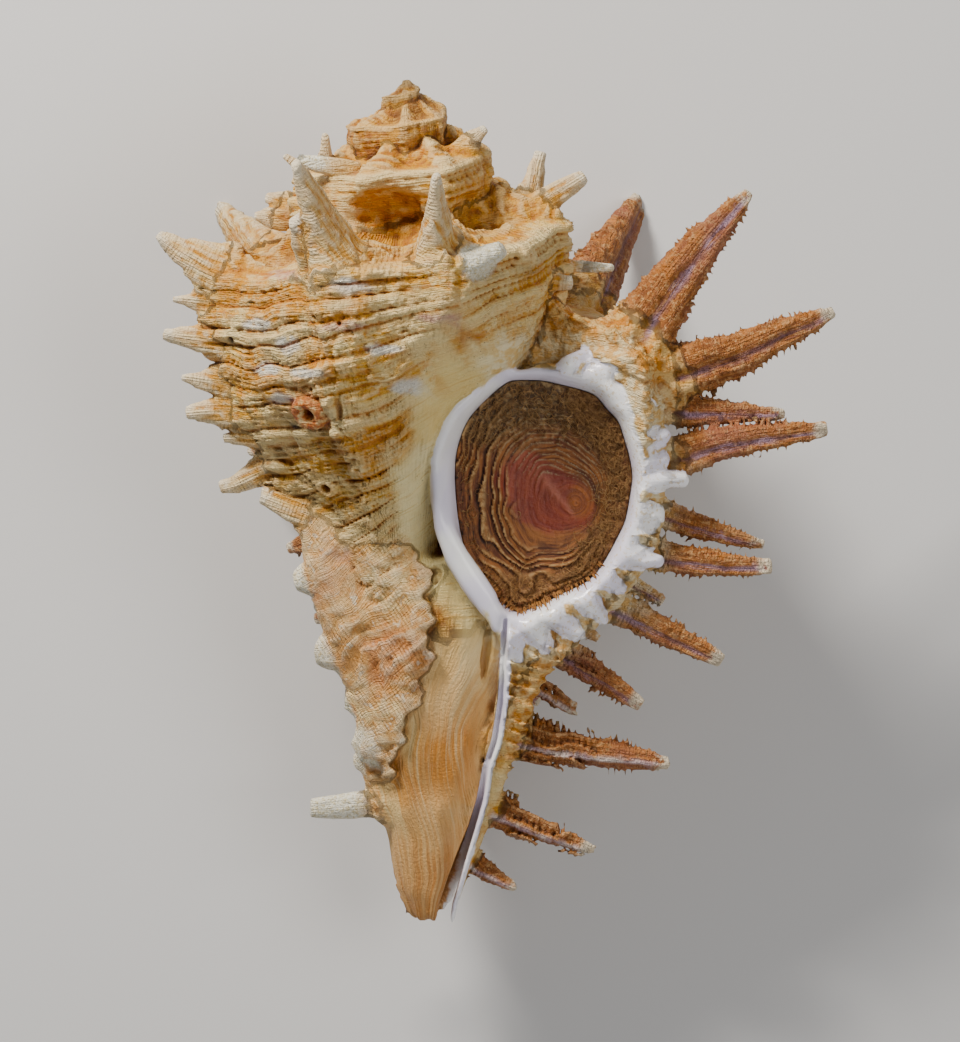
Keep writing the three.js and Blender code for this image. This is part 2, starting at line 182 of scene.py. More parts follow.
def ridged(P, scale, seed=0):
    """crinkled ridges, 0..1 with sharp crests"""
    return 1 - np.minimum(np.abs(noise(P, scale, seed)) * 2.2, 1)


# ------------------------------------------------------------------ tables
def poly_distance(P, poly, closed=True):
    """signed distance (negative inside) from points to a polygon"""
    x, y = P[..., 0], P[..., 1]
    d = np.full(x.shape, 1e18)
    inside = np.zeros(x.shape, bool)
    n = len(poly)
    for i in range(n if closed else n - 1):
        ax, ay = poly[i]
        bx, by = poly[(i + 1) % n]
        ex, ey = bx - ax, by - ay
        t = np.clip(((x - ax) * ex + (y - ay) * ey) / (ex * ex + ey * ey + 1e-12), 0, 1)
        d = np.minimum(d, (x - ax - t * ex) ** 2 + (y - ay - t * ey) ** 2)
        if closed:
            c = (ay > y) != (by > y)
            with np.errstate(divide="ignore", invalid="ignore"):
                inside ^= c & (x < (bx - ax) * (y - ay) / (by - ay) + ax)
    d = np.sqrt(d)
    return np.where(inside, -d, d) if closed else d


def catmull(poly, per=6, closed=True):
    out, n = [], len(poly)
    for i in range(n if closed else n - 1):
        p0, p1 = poly[(i - 1) % n if closed else max(i - 1, 0)], poly[i]
        p2, p3 = poly[(i + 1) % n], poly[(i + 2) % n if closed else min(i + 2, n - 1)]
        for t in np.arange(per) / per:
            out.append(0.5 * (2 * p1 + (p2 - p0) * t + (2 * p0 - 5 * p1 + 4 * p2 - p3) * t * t + (3 * p1 - p0 - 3 * p2 + p3) * t ** 3))
    if not closed:
        out.append(poly[-1])
    return np.array(out)


class Table2D:
    def __init__(self, x0, x1, y0, y1, step, fn):
        self.x0, self.y0, self.step = x0, y0, step
        xs, ys = np.arange(x0, x1 + step, step), np.arange(y0, y1 + step, step)
        X, Y = np.meshgrid(xs, ys, indexing="ij")
        self.v = fn(np.stack([X, Y], -1)).astype(np.float32)
        self.nx, self.ny = self.v.shape
        self.flat = self.v.reshape(-1)

    def __call__(self, x, y):
        u = np.clip((x - self.x0) / self.step, 0, self.nx - 1.001)
        v = np.clip((y - self.y0) / self.step, 0, self.ny - 1.001)
        i, j = u.astype(np.int32), v.astype(np.int32)
        a, b = (u - i).astype(np.float32), (v - j).astype(np.float32)
        k = i * self.ny + j
        F = self.flat
        return (F[k] * (1 - a) + F[k + self.ny] * a) * (1 - b) + (F[k + 1] * (1 - a) + F[k + self.ny + 1] * a) * b


# smooth growth tables
_nn = np.linspace(-4.6, 0.35, 2400)
_R = np.interp(_nn, GROWTH[:, 0], GROWTH[:, 1])
_H = np.interp(_nn, GROWTH[:, 0], GROWTH[:, 2])
_ker = np.hanning(121); _ker /= _ker.sum()
_R = np.convolve(np.pad(_R, 60, mode="edge"), _ker, "valid")
_H = np.convolve(np.pad(_H, 60, mode="edge"), _ker, "valid")
# varix profile over growth: slow rise, sharp drop on the growing side
_VW = np.zeros_like(_nn)
for v in VARICES + OLD_VARICES:
    dd = _nn * 360 - v
    _VW = np.maximum(_VW, np.where(dd > 0, np.exp(-(dd / 5.0) ** 2), np.exp(-(dd / 13.0) ** 2)))


# uneven broad cords with sharp grooves between them
_cg = np.random.default_rng(21)
_ce = np.linspace(-2.65, 0.25, 1600)
_CORD = np.zeros(1600, np.float32)
_edge = 0.25
while _edge > -2.7:
    _w = _cg.uniform(0.066, 0.136)
    _tt = (_ce - (_edge - _w)) / _w
    _mm = (_tt >= 0) & (_tt < 1)
    _CORD[_mm] = _cg.uniform(0.45, 1.15) * (4 * _tt[_mm] * (1 - _tt[_mm])) ** 0.42
    _edge -= _w


def cord_at(e):
    u = np.clip((e + 2.65) / (_ce[1] - _ce[0]), 0, 1598.9)
    i = u.astype(np.int32)
    f = (u - i).astype(np.float32)
    return _CORD[i] * (1 - f) + _CORD[i + 1] * f


def at(tab, n):
    u = np.clip((n - _nn[0]) / (_nn[1] - _nn[0]), 0, len(_nn) - 1.001)
    i = u.astype(np.int32)
    f = (u - i).astype(np.float32)
    return tab[i] * (1 - f) + tab[i + 1] * f


_R, _H, _VW = _R.astype(np.float32), _H.astype(np.float32), _VW.astype(np.float32)
_sec = catmull(SECTION, 6, closed=False)
_sec = np.vstack([_sec, [[-0.3, -2.5]], [[-0.3, 0.5]]])
SEC = Table2D(0.0, 1.9, -3.2, 1.4, 0.0125, lambda P: poly_distance(P, _sec))
_rim = catmull(RIM, 4)
_oper = catmull(OPERCULUM, 4)
RIMT = Table2D(-60, 360, -700, 40, 2.0, lambda P: poly_distance(P, _rim))
OPT = Table2D(-60, 360, -420, 20, 2.0, lambda P: poly_distance(P, _oper))
SLITT = Table2D(-20, 200, -700, -280, 1.5, lambda P: poly_distance(P, np.vstack([
    np.stack([SLIT[:, 0] - SLIT[:, 2], SLIT[:, 1]], -1), np.stack([SLIT[:, 0] + SLIT[:, 2], SLIT[:, 1]], -1)[::-1]])))


def rim_front(y):
    return np.where(y > -320, LIP_PLANE, LIP_PLANE + (y + 320) * 0.235)


# ------------------------------------------------------------------ spines as sampled curves
class Spine:
    def __init__(self, base, tip, wb, wt, bow, facing, kind, seed):
        base, tip, facing = np.asarray(base, float), np.asarray(tip, float), np.asarray(facing, float)
        L = np.linalg.norm(tip - base)
        t = (tip - base) / L
        w = facing - t * facing.dot(t)
        w /= np.linalg.norm(w)
        u = np.cross(t, w)
        mid = (base + tip) / 2 + u * bow
        s = np.linspace(0, 1, 15)[:, None]
        self.c = (1 - s) ** 2 * base + 2 * s * (1 - s) * mid + s ** 2 * tip
        rg = np.random.default_rng(seed + 40)
        wob = np.cumsum(rg.normal(0, 0.6, (15, 1)), 0) * (L > 60)
        self.c += u * (wob - wob[0]) * np.clip(L / 160, 0, 1)
        self.u, self.w, self.t, self.L = u, w, t, L
        self.wb, self.wt, self.kind, self.seed = wb, wt, kind, seed
        self.grooved = (kind in (0, 3) and L > 45)
        self.ridge = seed in (10, 11, 12, 13)
        self.lo, self.hi = self.c.min(0) - wb - 14, self.c.max(0) + wb + 14

    def local(self, P):
        """along (0..1+), across, toward the open side"""
        best = np.full(len(P), 1e18)
        s = np.zeros(len(P)); A = np.zeros(len(P)); B = np.zeros(len(P)); E = np.zeros(len(P))
        n = len(self.c) - 1
        for i in range(n):
            a, b = self.c[i], self.c[i + 1]
            e = b - a
            q = P - a
            tt = (q @ e) / (e @ e)
            tc = np.clip(tt, 0, 1)
            if i == n - 1:
                ext = np.maximum(tt - 1, 0) * np.linalg.norm(e)
            else:
                ext = np.zeros(len(P))
            r = q - tc[:, None] * e
            d = (r * r).sum(1)
            m = d < best
            best[m] = d[m]
            s[m] = (i + tc[m]) / n
            A[m] = (r @ self.u)[m]; B[m] = (r @ self.w)[m]; E[m] = ext[m]
        return s, A, B, E

    def half(self, s):
        k = (1 - s) ** (1.15 if self.kind == 1 else 0.8)
        return self.wb * k + self.wt * (1 - k)

    def sdf(self, P, detail=True):
        s, A, B, E = self.local(P)
        hw = self.half(s)
        ratio = 0.62 if self.grooved else 0.72
        side = 0.20 * hw
        if detail:
            edge = np.clip(np.abs(A) / np.maximum(hw, 1), 0, 1.4)
            along = s * self.L
            size = np.clip(hw / 12, 0.35, 1.25)
            jit = noise(P, 9.0, self.seed % 11) * 3.2
            tooth = (((along + jit + 4 * edge + np.sign(A) * 1.7) / 5.6) % 1.0) ** 1.5
            amp = (0.5 + 3.0 * edge ** 3) * size * smooth(1.02, 0.85, s)
            big = noise(P, 26.0, 5 + self.seed % 7) * 0.14 * hw * smooth(0, 0.3, s)
            thread = np.cos(A / np.maximum(hw, 2) * 10.0 + noise(P, 26, 17) * 1.2) * 0.8 * (hw > 7)
            crink = (ridged(P, 8.5, 3) - 0.6) * 2.2 * size
            if self.kind == 1:
                amp = 1.0 * size
                thread = np.cos(A * 2 * np.pi / 9.5 + noise(P, 22, 14) * 2.0) * 0.95 * np.clip(hw / 10, 0.2, 1)
                big = fbm(P, 21, 2, 15) * 2.8 * size
                crink = (ridged(P, 13, 18) - 0.6) * 1.5 * size
            if self.kind == 2:
                amp = amp * 0.15
                crink = (ridged(P, 12, 19) - 0.6) * 0.8 * size
                big = big * 0.5
            grow = tooth * amp - amp * 0.4 + big + thread + crink
        else:
            grow = 0.0
        hw2 = np.maximum(hw + grow, 1.5)
        th = np.maximum(hw * ratio + grow * 0.6, 1.5)
        # rounded section: distance to an ellipse, near enough
        q = np.sqrt((A / hw2) ** 2 + (B / th) ** 2 + 1e-9)
        d = (q - 1) * np.minimum(hw2, th) * 0.9
        d = np.where(q > 1, np.maximum(d, (np.sqrt(A * A + B * B) - hw2)), d)
        d = smax(d, E - self.wt * 0.35, 2.0)
        if self.grooved:
            if self.ridge:
                d = d - 2.2 * np.exp(-((A - side) / 2.6) ** 2) * (B > 0)
            else:
                # the closed seam: a shallow trough with a narrow line at the bottom
                gw = np.maximum(hw * 0.34, 2.4)
                dish = np.sqrt(((A - side) / gw) ** 2 + ((B - th * 1.02) / (th * 0.34)) ** 2 + 1e-9)
                dg = (1 - dish) * np.minimum(gw, th * 0.34)
                d = smax(d, dg, 2.0)
                line = 1.4 - np.abs(A - side)
                line = np.minimum(line, B - th * 0.62)
                d = np.where(s < 0.985, smax(d, line, 1.0), d)
        return d, s, A, B, hw


SPINES = []
for i, (bx, by, bf, tx, ty, tf, wb, wt, bow, side, kind) in enumerate(SP):
    grow = from_axis(-bf, 0, max(bx * side, abs(bf) * 0.2 + 20) * side)
    SPINES.append(Spine(from_plan(bx, by, bf), from_plan(tx, ty, tf), wb, wt, bow, grow, kind, i))
for deg, wb, rows in BACK_ROWS:
    n = deg / 360
    R, H, a = np.interp(n, GROWTH[:, 0], GROWTH[:, 1]), np.interp(n, GROWTH[:, 0], GROWTH[:, 2]), math.radians(deg)
    for eta, length in rows:
        rho = 0
        for j in range(2, len(SECTION)):
            (r1, e1), (r0, e0) = SECTION[j], SECTION[j - 1]
            if eta <= e0 + 0.02 and eta >= e1:
                rho = max(rho, r0 + (r1 - r0) * ((e0 - eta) / (e0 - e1)))
        h = H + eta * R
        dip = (-0.34 if eta < -1 else -0.10) + (0.35 if eta > -0.1 else 0)
        rb, rt = rho * R - 14, rho * R * (1 + VARIX_RISE) + length
        base = from_axis(rb * math.cos(a), h, rb * math.sin(a))
        tip = from_axis(rt * math.cos(a), h + dip * (rt - rb), rt * math.sin(a))
        if tip[2] < REST_Z + 6:
            tip = base + (tip - base) * ((REST_Z + 6 - base[2]) / (tip[2] - base[2]))
        SPINES.append(Spine(base, tip, wb * (1 if length > 70 else 0.85) + 3, 6, 0, from_axis(-math.sin(a), 0, math.cos(a)), 3, len(SPINES)))


# ------------------------------------------------------------------ the coil
def coil(P, detail=True):
    """distance to the coil, and for each point the whorl's growth n, section height eta, radius rho, varix weight"""
    x, y, z = P[:, 0], P[:, 1], P[:, 2]
    h = y * CT + z * ST
    F = -y * ST + z * CT
    r = np.hypot(x, F)
    a = np.arctan2(F, x) / (2 * np.pi)
    D = np.full(len(P), 1e6, np.float32)
    N = np.zeros(len(P), np.float32); ETA = N.copy(); RHO = N.copy(); RR = N + 200
    D2 = D.copy()
    end = 22 / 360
    for k in range(0, -5, -1):
        n = (a + k).astype(np.float32)
        nc = np.clip(n, -4.45, end) if k == 0 else np.maximum(n, -4.45)
        R, H = at(_R, nc), at(_H, nc)
        rho, eta = r / R, (h - H) / R
        w = at(_VW, nc)
        upper = smooth(0.16, 0.0, eta)
        lower = smooth(-2.4, -1.9, eta)
        rise = VARIX_RISE * w * upper * lower * smooth(0.3, 0.9, rho)
        ramp = smooth(-0.05, 0.04, eta) * smooth(0.30, 0.55, rho) * smooth(1.08, 0.88, rho)
        d = SEC(rho, eta) * R - rise * R
        d = d + ramp * R * (0.115 * (1 - w) ** 2 - 0.02)
        if k == 0:
            over = a > end
            d = np.where(over, np.maximum(d, r * np.sin(np.minimum((a - end) * 2 * np.pi, np.pi / 2))), d)
        m = d < D
        D2 = np.where(m, D, np.minimum(D2, d))
        D = np.where(m, d, D)
        N = np.where(m, nc, N); ETA = np.where(m, eta, ETA); RHO = np.where(m, rho, RHO); RR = np.where(m, R, RR)
    W = at(_VW, N)
    if detail:
        arc = N * 2 * np.pi * RR            # length along the growth
        sc = np.clip((RR / 175) ** 0.75, 0.34, 1.0)
        warp = noise(P, 54, 1) * 0.046 + noise(P, 23, 2) * 0.017
        lift = smooth(-0.66, -0.90, N) * smooth(-1.2, -1.02, N) * smooth(-0.05, -0.35, ETA)
        e = ETA + warp - 0.26 * lift
        lively = 0.85 + 0.7 * noise(P, 44, 9)
        c1 = cord_at(e)
        c2 = np.cos(2 * np.pi * (e + 0.02) / 0.031 + noise(P, 40, 5) * 2)
        c3 = np.cos(2 * np.pi * e / 0.0165 + noise(P, 30, 4) * 2)
        side = smooth(0.12, -0.02, ETA) * smooth(-2.3, -1.6, ETA)
        cords = (-4.6 + 7.6 * c1) * (0.75 + 0.55 * W) * lively + 1.35 * c2 + 0.6 * c3
        ramp = smooth(-0.02, 0.05, ETA)
        # growth lamellae, crowding and standing up at a varix, scaly where they cross a cord
        lam = arc + noise(P, 18, 6) * 6 + e * 16
        saw = (lam / 6.4) % 1.0
        fine = (saw ** 1.6) * (0.5 + 2.9 * W ** 2) * (0.5 + 0.7 * c1) - 0.4
        big = ((arc + noise(P, 40, 7) * 14) / 27.0) % 1.0
        steps = (big ** 2.2) * 3.0 * (0.3 + 0.7 * smooth(-0.1, 0.5, noise(P, 60, 13))) - 0.9
        knob = fbm(P, 36, 3, 8)
        crink = ridged(P, 13, 12) - 0.6
        s2 = RIMT(x, y)
        calm = 1 - 0.86 * smooth(40, 18, s2 + noise(P, 36, 90) * 15) * smooth(140, 100, x) * smooth(40, 60, F) * smooth(-375, -345, y) * smooth(-26, -50, y)
        rc = np.abs(np.sin(np.pi * RHO / 0.125 + warp * 34)) ** 0.7
        D = D - sc * calm * (cords * side + fine + steps * (0.35 + 0.9 * ramp + 0.65 * side) + knob * (5.0 + 4.2 * W) + crink * (1.6 + 3.4 * (1 - side))
                             + ramp * (rc * 7.5 - 4.6 + fbm(P, 22, 2, 16) * 6.0))
        # pits and borings
        pits = noise(P, 7.5, 21)
        D = D + smooth(0.74, 0.92, pits) * 4.0 * smooth(0.0, 0.4, fbm(P, 70, 1, 30) + 0.05) * calm
    D = smin(D, D2, 3.0)
    return D, N, ETA, RHO, W, h, F


def canal_sdf(P, h, F, detail=True):
    hh = np.clip(h, CANAL[-1, 0], CANAL[0, 0])
    o = CANAL[::-1]
    cx, cf = np.interp(hh, o[:, 0], o[:, 1]), np.interp(hh, o[:, 0], o[:, 2])
    a, b = np.interp(hh, o[:, 0], o[:, 3]), np.interp(hh, o[:, 0], o[:, 4])
    dx, df = P[:, 0] - cx, F - cf
    q = np.sqrt((dx / a) ** 2 + (df / b) ** 2 + 1e-9)
    d = (q - 1) * np.minimum(a, b)
    d = smax(d, np.maximum(CANAL[-1, 0] - h, h - CANAL[0, 0]), 9.0)
    if detail:
        ang = np.arctan2(df, dx)
        lines = np.sin(ang * 19 + h * 0.012 + noise(P, 60, 31) * 2.2)
        wide = np.sin(ang * 6.5 + noise(P, 90, 32) * 2.0)
        d = d - 0.7 * lines - 1.3 * wide - noise(P, 34, 33) * 2.4 - noise(P, 9, 34) * 0.5
    return d


# white crenulations of the outer lip: foot x y, tip x y, radius at foot and tip
TONGUES = [
    (188, -76, 218, -60, 12, 7), (196, -90, 240, -106, 14, 6), (214, -112, 236, -122, 12, 7), (222, -142, 257, -136, 15, 7), (226, -162, 256, -160, 12, 6),
    (226, -180, 274, -180, 13, 8), (222, -206, 248, -214, 14, 8), (218, -228, 240, -226, 10, 6), (212, -244, 234, -250, 13, 8), (218, -256, 250, -261, 12, 7),
    (197, -276, 213, -288, 11, 5), (178, -298, 197, -320, 13, 5), (146, -312, 168, -332, 14, 8), (122, -324, 138, -344, 12, 7), (104, -336, 110, -356, 9, 6),
    (160, -66, 176, -56, 9, 6),
]


def tongues(P):
    d = np.full(len(P), 1e6, np.float32)
    for x0, y0, x1, y1, r0, r1 in TONGUES:
        a, b = from_plan(x0, y0, LIP_PLANE - r0 + 5.0), from_plan(x1, y1, LIP_PLANE - 9.0 - r1 * 0.5)
        lo, hi = np.minimum(a, b) - r0 - 14, np.maximum(a, b) + r0 + 14
        m = ((P > lo) & (P < hi)).all(1)
        if m.any():
            Q = P[m]
            e = b - a
            t = np.clip(((Q - a) @ e) / (e @ e), 0, 1)
            d[m] = smin(d[m], np.linalg.norm(Q - a - t[:, None] * e, axis=1) - (r0 + (r1 - r0) * t), 6.0)
    return d


def shell_field(P, detail=True, blocks=None):
    D, N, ETA, RHO, W, h, F = coil(P, detail)
    x, y, z = P[:, 0], P[:, 1], P[:, 2]
    # columella and canal
    can = canal_sdf(P, h, F, detail)
    D = smin(D, can, 14.0)
    # rim of the aperture
    s2 = RIMT(x, y)
    front = rim_front(y)
    o = OPT(x, y)
    wave = 0.0
    slope = np.clip(o - 16, 0, 70) * 0.42 * smooth(90, 150, x) * smooth(-360, -320, y)
    if detail:
        wave = noise(P, 16, 40) * 1.6
        zone = smooth(14, 24, o) * smooth(110, 150, x)
        ang = np.arctan2(y + 190, x - 135)
        fold = np.cos(ang * 74 + noise(P, 26, 41) * 3.0) * 1.7 + np.cos(ang * 31 + noise(P, 40, 42) * 2.5) * 3.0
        slope = slope - zone * (fold + fbm(P, 20, 3, 43) * 5.0 + ridged(P, 11, 46) * 2.0 - 1.0)
    flare = np.maximum(front - F - 12, 0) * 0.55
    rim = smax(smax(s2 + flare + 3 + wave, F - front + slope, 7.0), (front - 100) - F, 6.0)
    D = smin(D, rim, 9.0)
    m = (x > 80) & (x < 310) & (y < -30) & (y > -420) & (F > 30)
    if m.any():
        q = P[m]
        t = tongues(q)
        if detail:
            t = t - noise(q, 13, 44) * 1.4
        D[m] = smin(D[m], t, 3.5)
    return D, N, ETA, RHO, W, h, F, can, s2, rim


def cut_openings(P, D, h, F):
    x, y, z = P[:, 0], P[:, 1], P[:, 2]
    o = OPT(x, y)
    # aperture: funnel that narrows to the operculum, then a straight wall
    depth = LIP_PLANE - F
    wall = o - 3.2 - np.clip((18 - depth), 0, 40) * 0.35
    hole = smax(wall, 34 - F, 3.0)
    D = smax(D, -hole, 4.5)
    sl = SLITT(x, y)
    front = rim_front(y)
    slit = smax(sl - np.clip(F - (front - 10), 0, 30) * 0.12, (front - 11 - 24 * smooth(-455, -560, y)) - F, 3.0)
    D = smax(D, -slit, 2.5)
    return np.maximum(D, REST_Z - z)


# ------------------------------------------------------------------ sparse evaluation on blocks
VOX = 2.1
LO = np.array([-262.0, -634.0, -242.0])
HI = np.array([444.0, 232.0, 220.0])
NB = np.ceil((HI - LO) / (VOX * 4)).astype(int)
DIM = NB * 4


def field_full(P):
    D, N, ETA, RHO, W, h, F, can, s2, rim = shell_field(P, True)
    return D, h, F


def in_threads(fn, starts):
    from concurrent.futures import ThreadPoolExecutor
    with ThreadPoolExecutor(4) as ex:
        list(ex.map(fn, starts))


def build_grid():
    bs = VOX * 4
    ii = np.stack(np.meshgrid(*[np.arange(k) for k in NB], indexing="ij"), -1).reshape(-1, 3)
    C = (LO + (ii + 0.5) * bs - VOX * 0.5).astype(np.float32)
    # coarse pass: plain shapes only
    base = np.empty(len(C), np.float32); cut = base.copy()

    def coarse(s):
        Cc = C[s:s + 60000]
        D, _, _, _, _, h, F = shell_field(Cc, False)[:7]
        base[s:s + 60000] = D
        cut[s:s + 60000] = extras(Cc, cut_openings(Cc, D.copy(), h, F), h, F)
    in_threads(coarse, range(0, len(C), 60000))
    near = (np.abs(base) < bs * 0.87 + 14) | (np.abs(cut) < bs * 0.87 + 14)
    sp_blocks = []
    for sp in SPINES:
        m = np.where(((C > sp.lo - bs / 2) & (C < sp.hi + bs / 2)).all(1))[0]
        if len(m):
            d = sp.sdf(C[m].astype(float), False)[0]
            k = m[d < bs * 0.87 + 12]
        else:
            k = m
        sp_blocks.append(k)
        near[k] |= cut[k] > -(bs * 0.87 + 14)
    act = np.where(near)[0]
    pos = -np.ones(len(C), int); pos[act] = np.arange(len(act))
    off = (np.stack(np.meshgrid(*[np.arange(4)] * 3, indexing="ij"), -1).reshape(-1, 3) * VOX - 1.5 * VOX).astype(np.float32)
    V = np.empty((len(act), 64), np.float32)
    step = 3000

    def pts_of(s):
        return (C[act[s:s + step]][:, None, :] + off[None]).reshape(-1, 3)

    def body(s):
        V[s:s + step] = shell_field(pts_of(s), True)[0].reshape(-1, 64)
    in_threads(body, range(0, len(act), step))
    dists = [None] * len(SPINES)

    def one(i):
        b = pos[sp_blocks[i]]; b = b[b >= 0]
        if len(b):
            P = (C[act[b]][:, None, :] + off[None]).reshape(-1, 3)
            dists[i] = (b, np.concatenate([SPINES[i].sdf(q)[0] for q in np.array_split(P, max(1, len(P) // 200000))]).reshape(-1, 64))
    in_threads(one, range(len(SPINES)))
    for sp, bd in zip(SPINES, dists):
        if bd is not None:
            V[bd[0]] = smin(V[bd[0]], bd[1], 15.0 if sp.kind == 1 and sp.wb > 30 else (9.0 if sp.kind == 1 else (6.0 if sp.L > 60 else 4.0)))

    def finish(s):
        P = pts_of(s)
        h = P[:, 1] * CT + P[:, 2] * ST
        F = -P[:, 1] * ST + P[:, 2] * CT
        V[s:s + step] = extras(P, cut_openings(P, V[s:s + step].reshape(-1), h, F), h, F).reshape(-1, 64)
    in_threads(finish, range(0, len(act), step))
    G = np.where(cut < 0, -3 * VOX, 3 * VOX).astype(np.float32).reshape(tuple(NB))
    G = np.repeat(np.repeat(np.repeat(G, 4, 0), 4, 1), 4, 2)
    gi = ii[act]
    blk = G.reshape(NB[0], 4, NB[1], 4, NB[2], 4)
    blk[gi[:, 0], :, gi[:, 1], :, gi[:, 2], :] = np.clip(V, -3 * VOX, 3 * VOX).reshape(-1, 4, 4, 4)
    return G


def front_point(x, y):
    """the front surface of the plain shell at a place in plan, with its normal"""
    zs = np.arange(230, -120, -1.5)
    P = np.stack([np.full(len(zs), x), np.full(len(zs), y), zs], -1).astype(np.float32)
    D = shell_field(P, False)[0]
    k = np.argmax(D < 0)
    p = P[k].astype(float)
    e = 3.0
    Q = np.array([p + [e, 0, 0], p - [e, 0, 0], p + [0, e, 0], p - [0, e, 0], p + [0, 0, e], p - [0, 0, e]], np.float32)
    d = shell_field(Q, False)[0]
    n = np.array([d[0] - d[1], d[2] - d[3], d[4] - d[5]], float)
    return p, n / np.linalg.norm(n)


def near_box(P, c, r):
    return (np.abs(P - np.asarray(c, np.float32)) < r).all(1)


# growths and wounds on the front: kind, x, y, sizes
WORM = [("ring", -95, -112, 12.5, 7.0), ("ring", -80, -187, 8.0, 3.2)]
BLOBS = [(-72, -135, 9, 5, 4), (-134, -166, 18, 6, 5), (-62, -255, 8, 8, 7), (-42, -320, 9, 8, 7), (-22, -353, 9, 8, 7), (-118, -190, 8, 10, 6),
         (-30, -270, 9, 6, 4), (-6, -300, 8, 9, 4), (-2, -380, 7, 9, 4), (165, 12, 12, 9, 7), (120, 40, 16, 8, 5)]
PITS = [(-68, -112, 4.5, 14, 7), (-55, -162, 5, 5, 6), (-80, -187, 5, 5, 6), (-150, -180, 13, 8, 12), (-22, 78, 46, 30, 30), (72, 84, 30, 20, 20),
        (-132, 52, 30, 24, 30), (80, -350, 5.5, 36, 9), (28, -275, 7, 9, 5), (-112, -128, 3, 3, 4), (-175, -40, 3, 3, 4), (-150, -75, 2.6, 3, 3),
        (-88, -20, 3, 2.4, 4), (-66, -26, 2.6, 2.6, 4), (-40, -24, 2.6, 2, 3), (-24, -22, 3, 2, 3)]
FASC = [(-86, -232, 30, 22), (-76, -268, 32, 28), (-58, -318, 30, 30), (-42, -364, 26, 28), (-28, -410, 22, 24), (-16, -452, 16, 21), (-14, -480, 10, 21), (-14, -508, 8, 21)]
# edge of the fasciole over the canal
EDGE_Y = np.array([-520, -490, -462, -440, -420, -400, -366, -330, -300, -273, -250, -236])
EDGE_X = np.array([-36, -20, -10, -6, 2, 12, 23, 24, 23, 22, 12, -6])
# left outline of the fasciole, and the worn white knobs along it
LEFT_Y = np.array([-480, -445, -417, -400, -377, -348, -328, -305, -277, -248, -225])
LEFT_X = np.array([-44, -46, -49, -62, -64, -80, -80, -88, -98, -100, -106])
KNOBS = [(-96, -279, 26, 19, 15, 17), (-78, -351, 24, 15, 18, 16), (-86, -303, 16, 8, 10, 9)]
_kk = [(from_plan(x, y, f), a, b, c) for x, y, f, a, b, c in KNOBS]


def knobs(P):
    d = np.full(len(P), 1e6, np.float32)
    for c, a, b, k in _kk:
        q = P - c
        e = np.sqrt((q[:, 0] / a) ** 2 + (q[:, 1] / b) ** 2 + (q[:, 2] / k) ** 2 + 1e-9)
        d = np.minimum(d, (e - 1) * min(a, b, k))
    return d - noise(P, 9, 66) * 1.3 - noise(P, 20, 67) * 1.2


_ww = [(k,) + front_point(x, y) + (a, b) for k, x, y, a, b in WORM]
_bb = [front_point(x, y) + (a, b, c) for x, y, a, b, c in BLOBS]
_pp = [front_point(x, y) + (a, b, c) for x, y, a, b, c in PITS]
# the free lower end of the columellar lip, a smooth white fold over the start of the canal
EAR = [(40, -228, 6.0), (53, -256, 9.0), (67, -279, 11.0), (80, -297, 10.0), (88, -314, 7.5), (90, -326, 5.0)]
_ee = []
for _x, _y, _r in EAR:
    _p, _n = front_point(_x, _y)
    _ee.append((np.array([_x, _y, _p[2]]) - np.array([0, 0, 0.35]) * _r, _r))


def ear(P):
    d = np.full(len(P), 1e6, np.float32)
    for (a, ra), (b, rb) in zip(_ee, _ee[1:]):
        e = b - a
        t = np.clip(((P - a) @ e) / (e @ e), 0, 1)
        d = np.minimum(d, np.linalg.norm(P - a - t[:, None] * e, axis=1) - (ra + (rb - ra) * t))
    return d
_ff = [(from_plan(x, y, f), r) for x, y, f, r in FASC]
for _x, _y, _a, _b in ((-32, -440, 20, 19), (-40, -462, 12, 12)):
    _p = front_point(_x, _y)[0]
    _kk.append((np.array([_x, _y, _p[2] + 1.0]), _a, _b, 13))
    _kk.append((np.array([_x - 4, _y, _p[2] - 14.0]), _a, _b, 15))


def frame_of(n):
    u = np.cross([0, 1, 0], n); u /= np.linalg.norm(u)
    return u, np.cross(n, u)


def fasciole(P):
    d = np.full(len(P), 1e6, np.float32)
    for (a, ra), (b, rb) in zip(_ff, _ff[1:]):
        e = b - a
        t = np.clip(((P - a) @ e) / (e @ e), 0, 1)
        d = np.minimum(d, np.linalg.norm(P - a - t[:, None] * e, axis=1) - (ra + (rb - ra) * t))
    return d


def fasciole_zone(x, y, F):
    """0..1 over the rough strip of old canal ends, with a sharp lobed edge toward the canal"""
    xe = np.interp(y, EDGE_Y, EDGE_X) + 4.5 * np.sin(y * 2 * np.pi / 41) + 2.0 * np.sin(y * 2 * np.pi / 17 + 1)
    return smooth(2.2, -2.2, x - xe) * smooth(-226, -262, y) * smooth(-500, -470, y) * smooth(-60, -20, F)


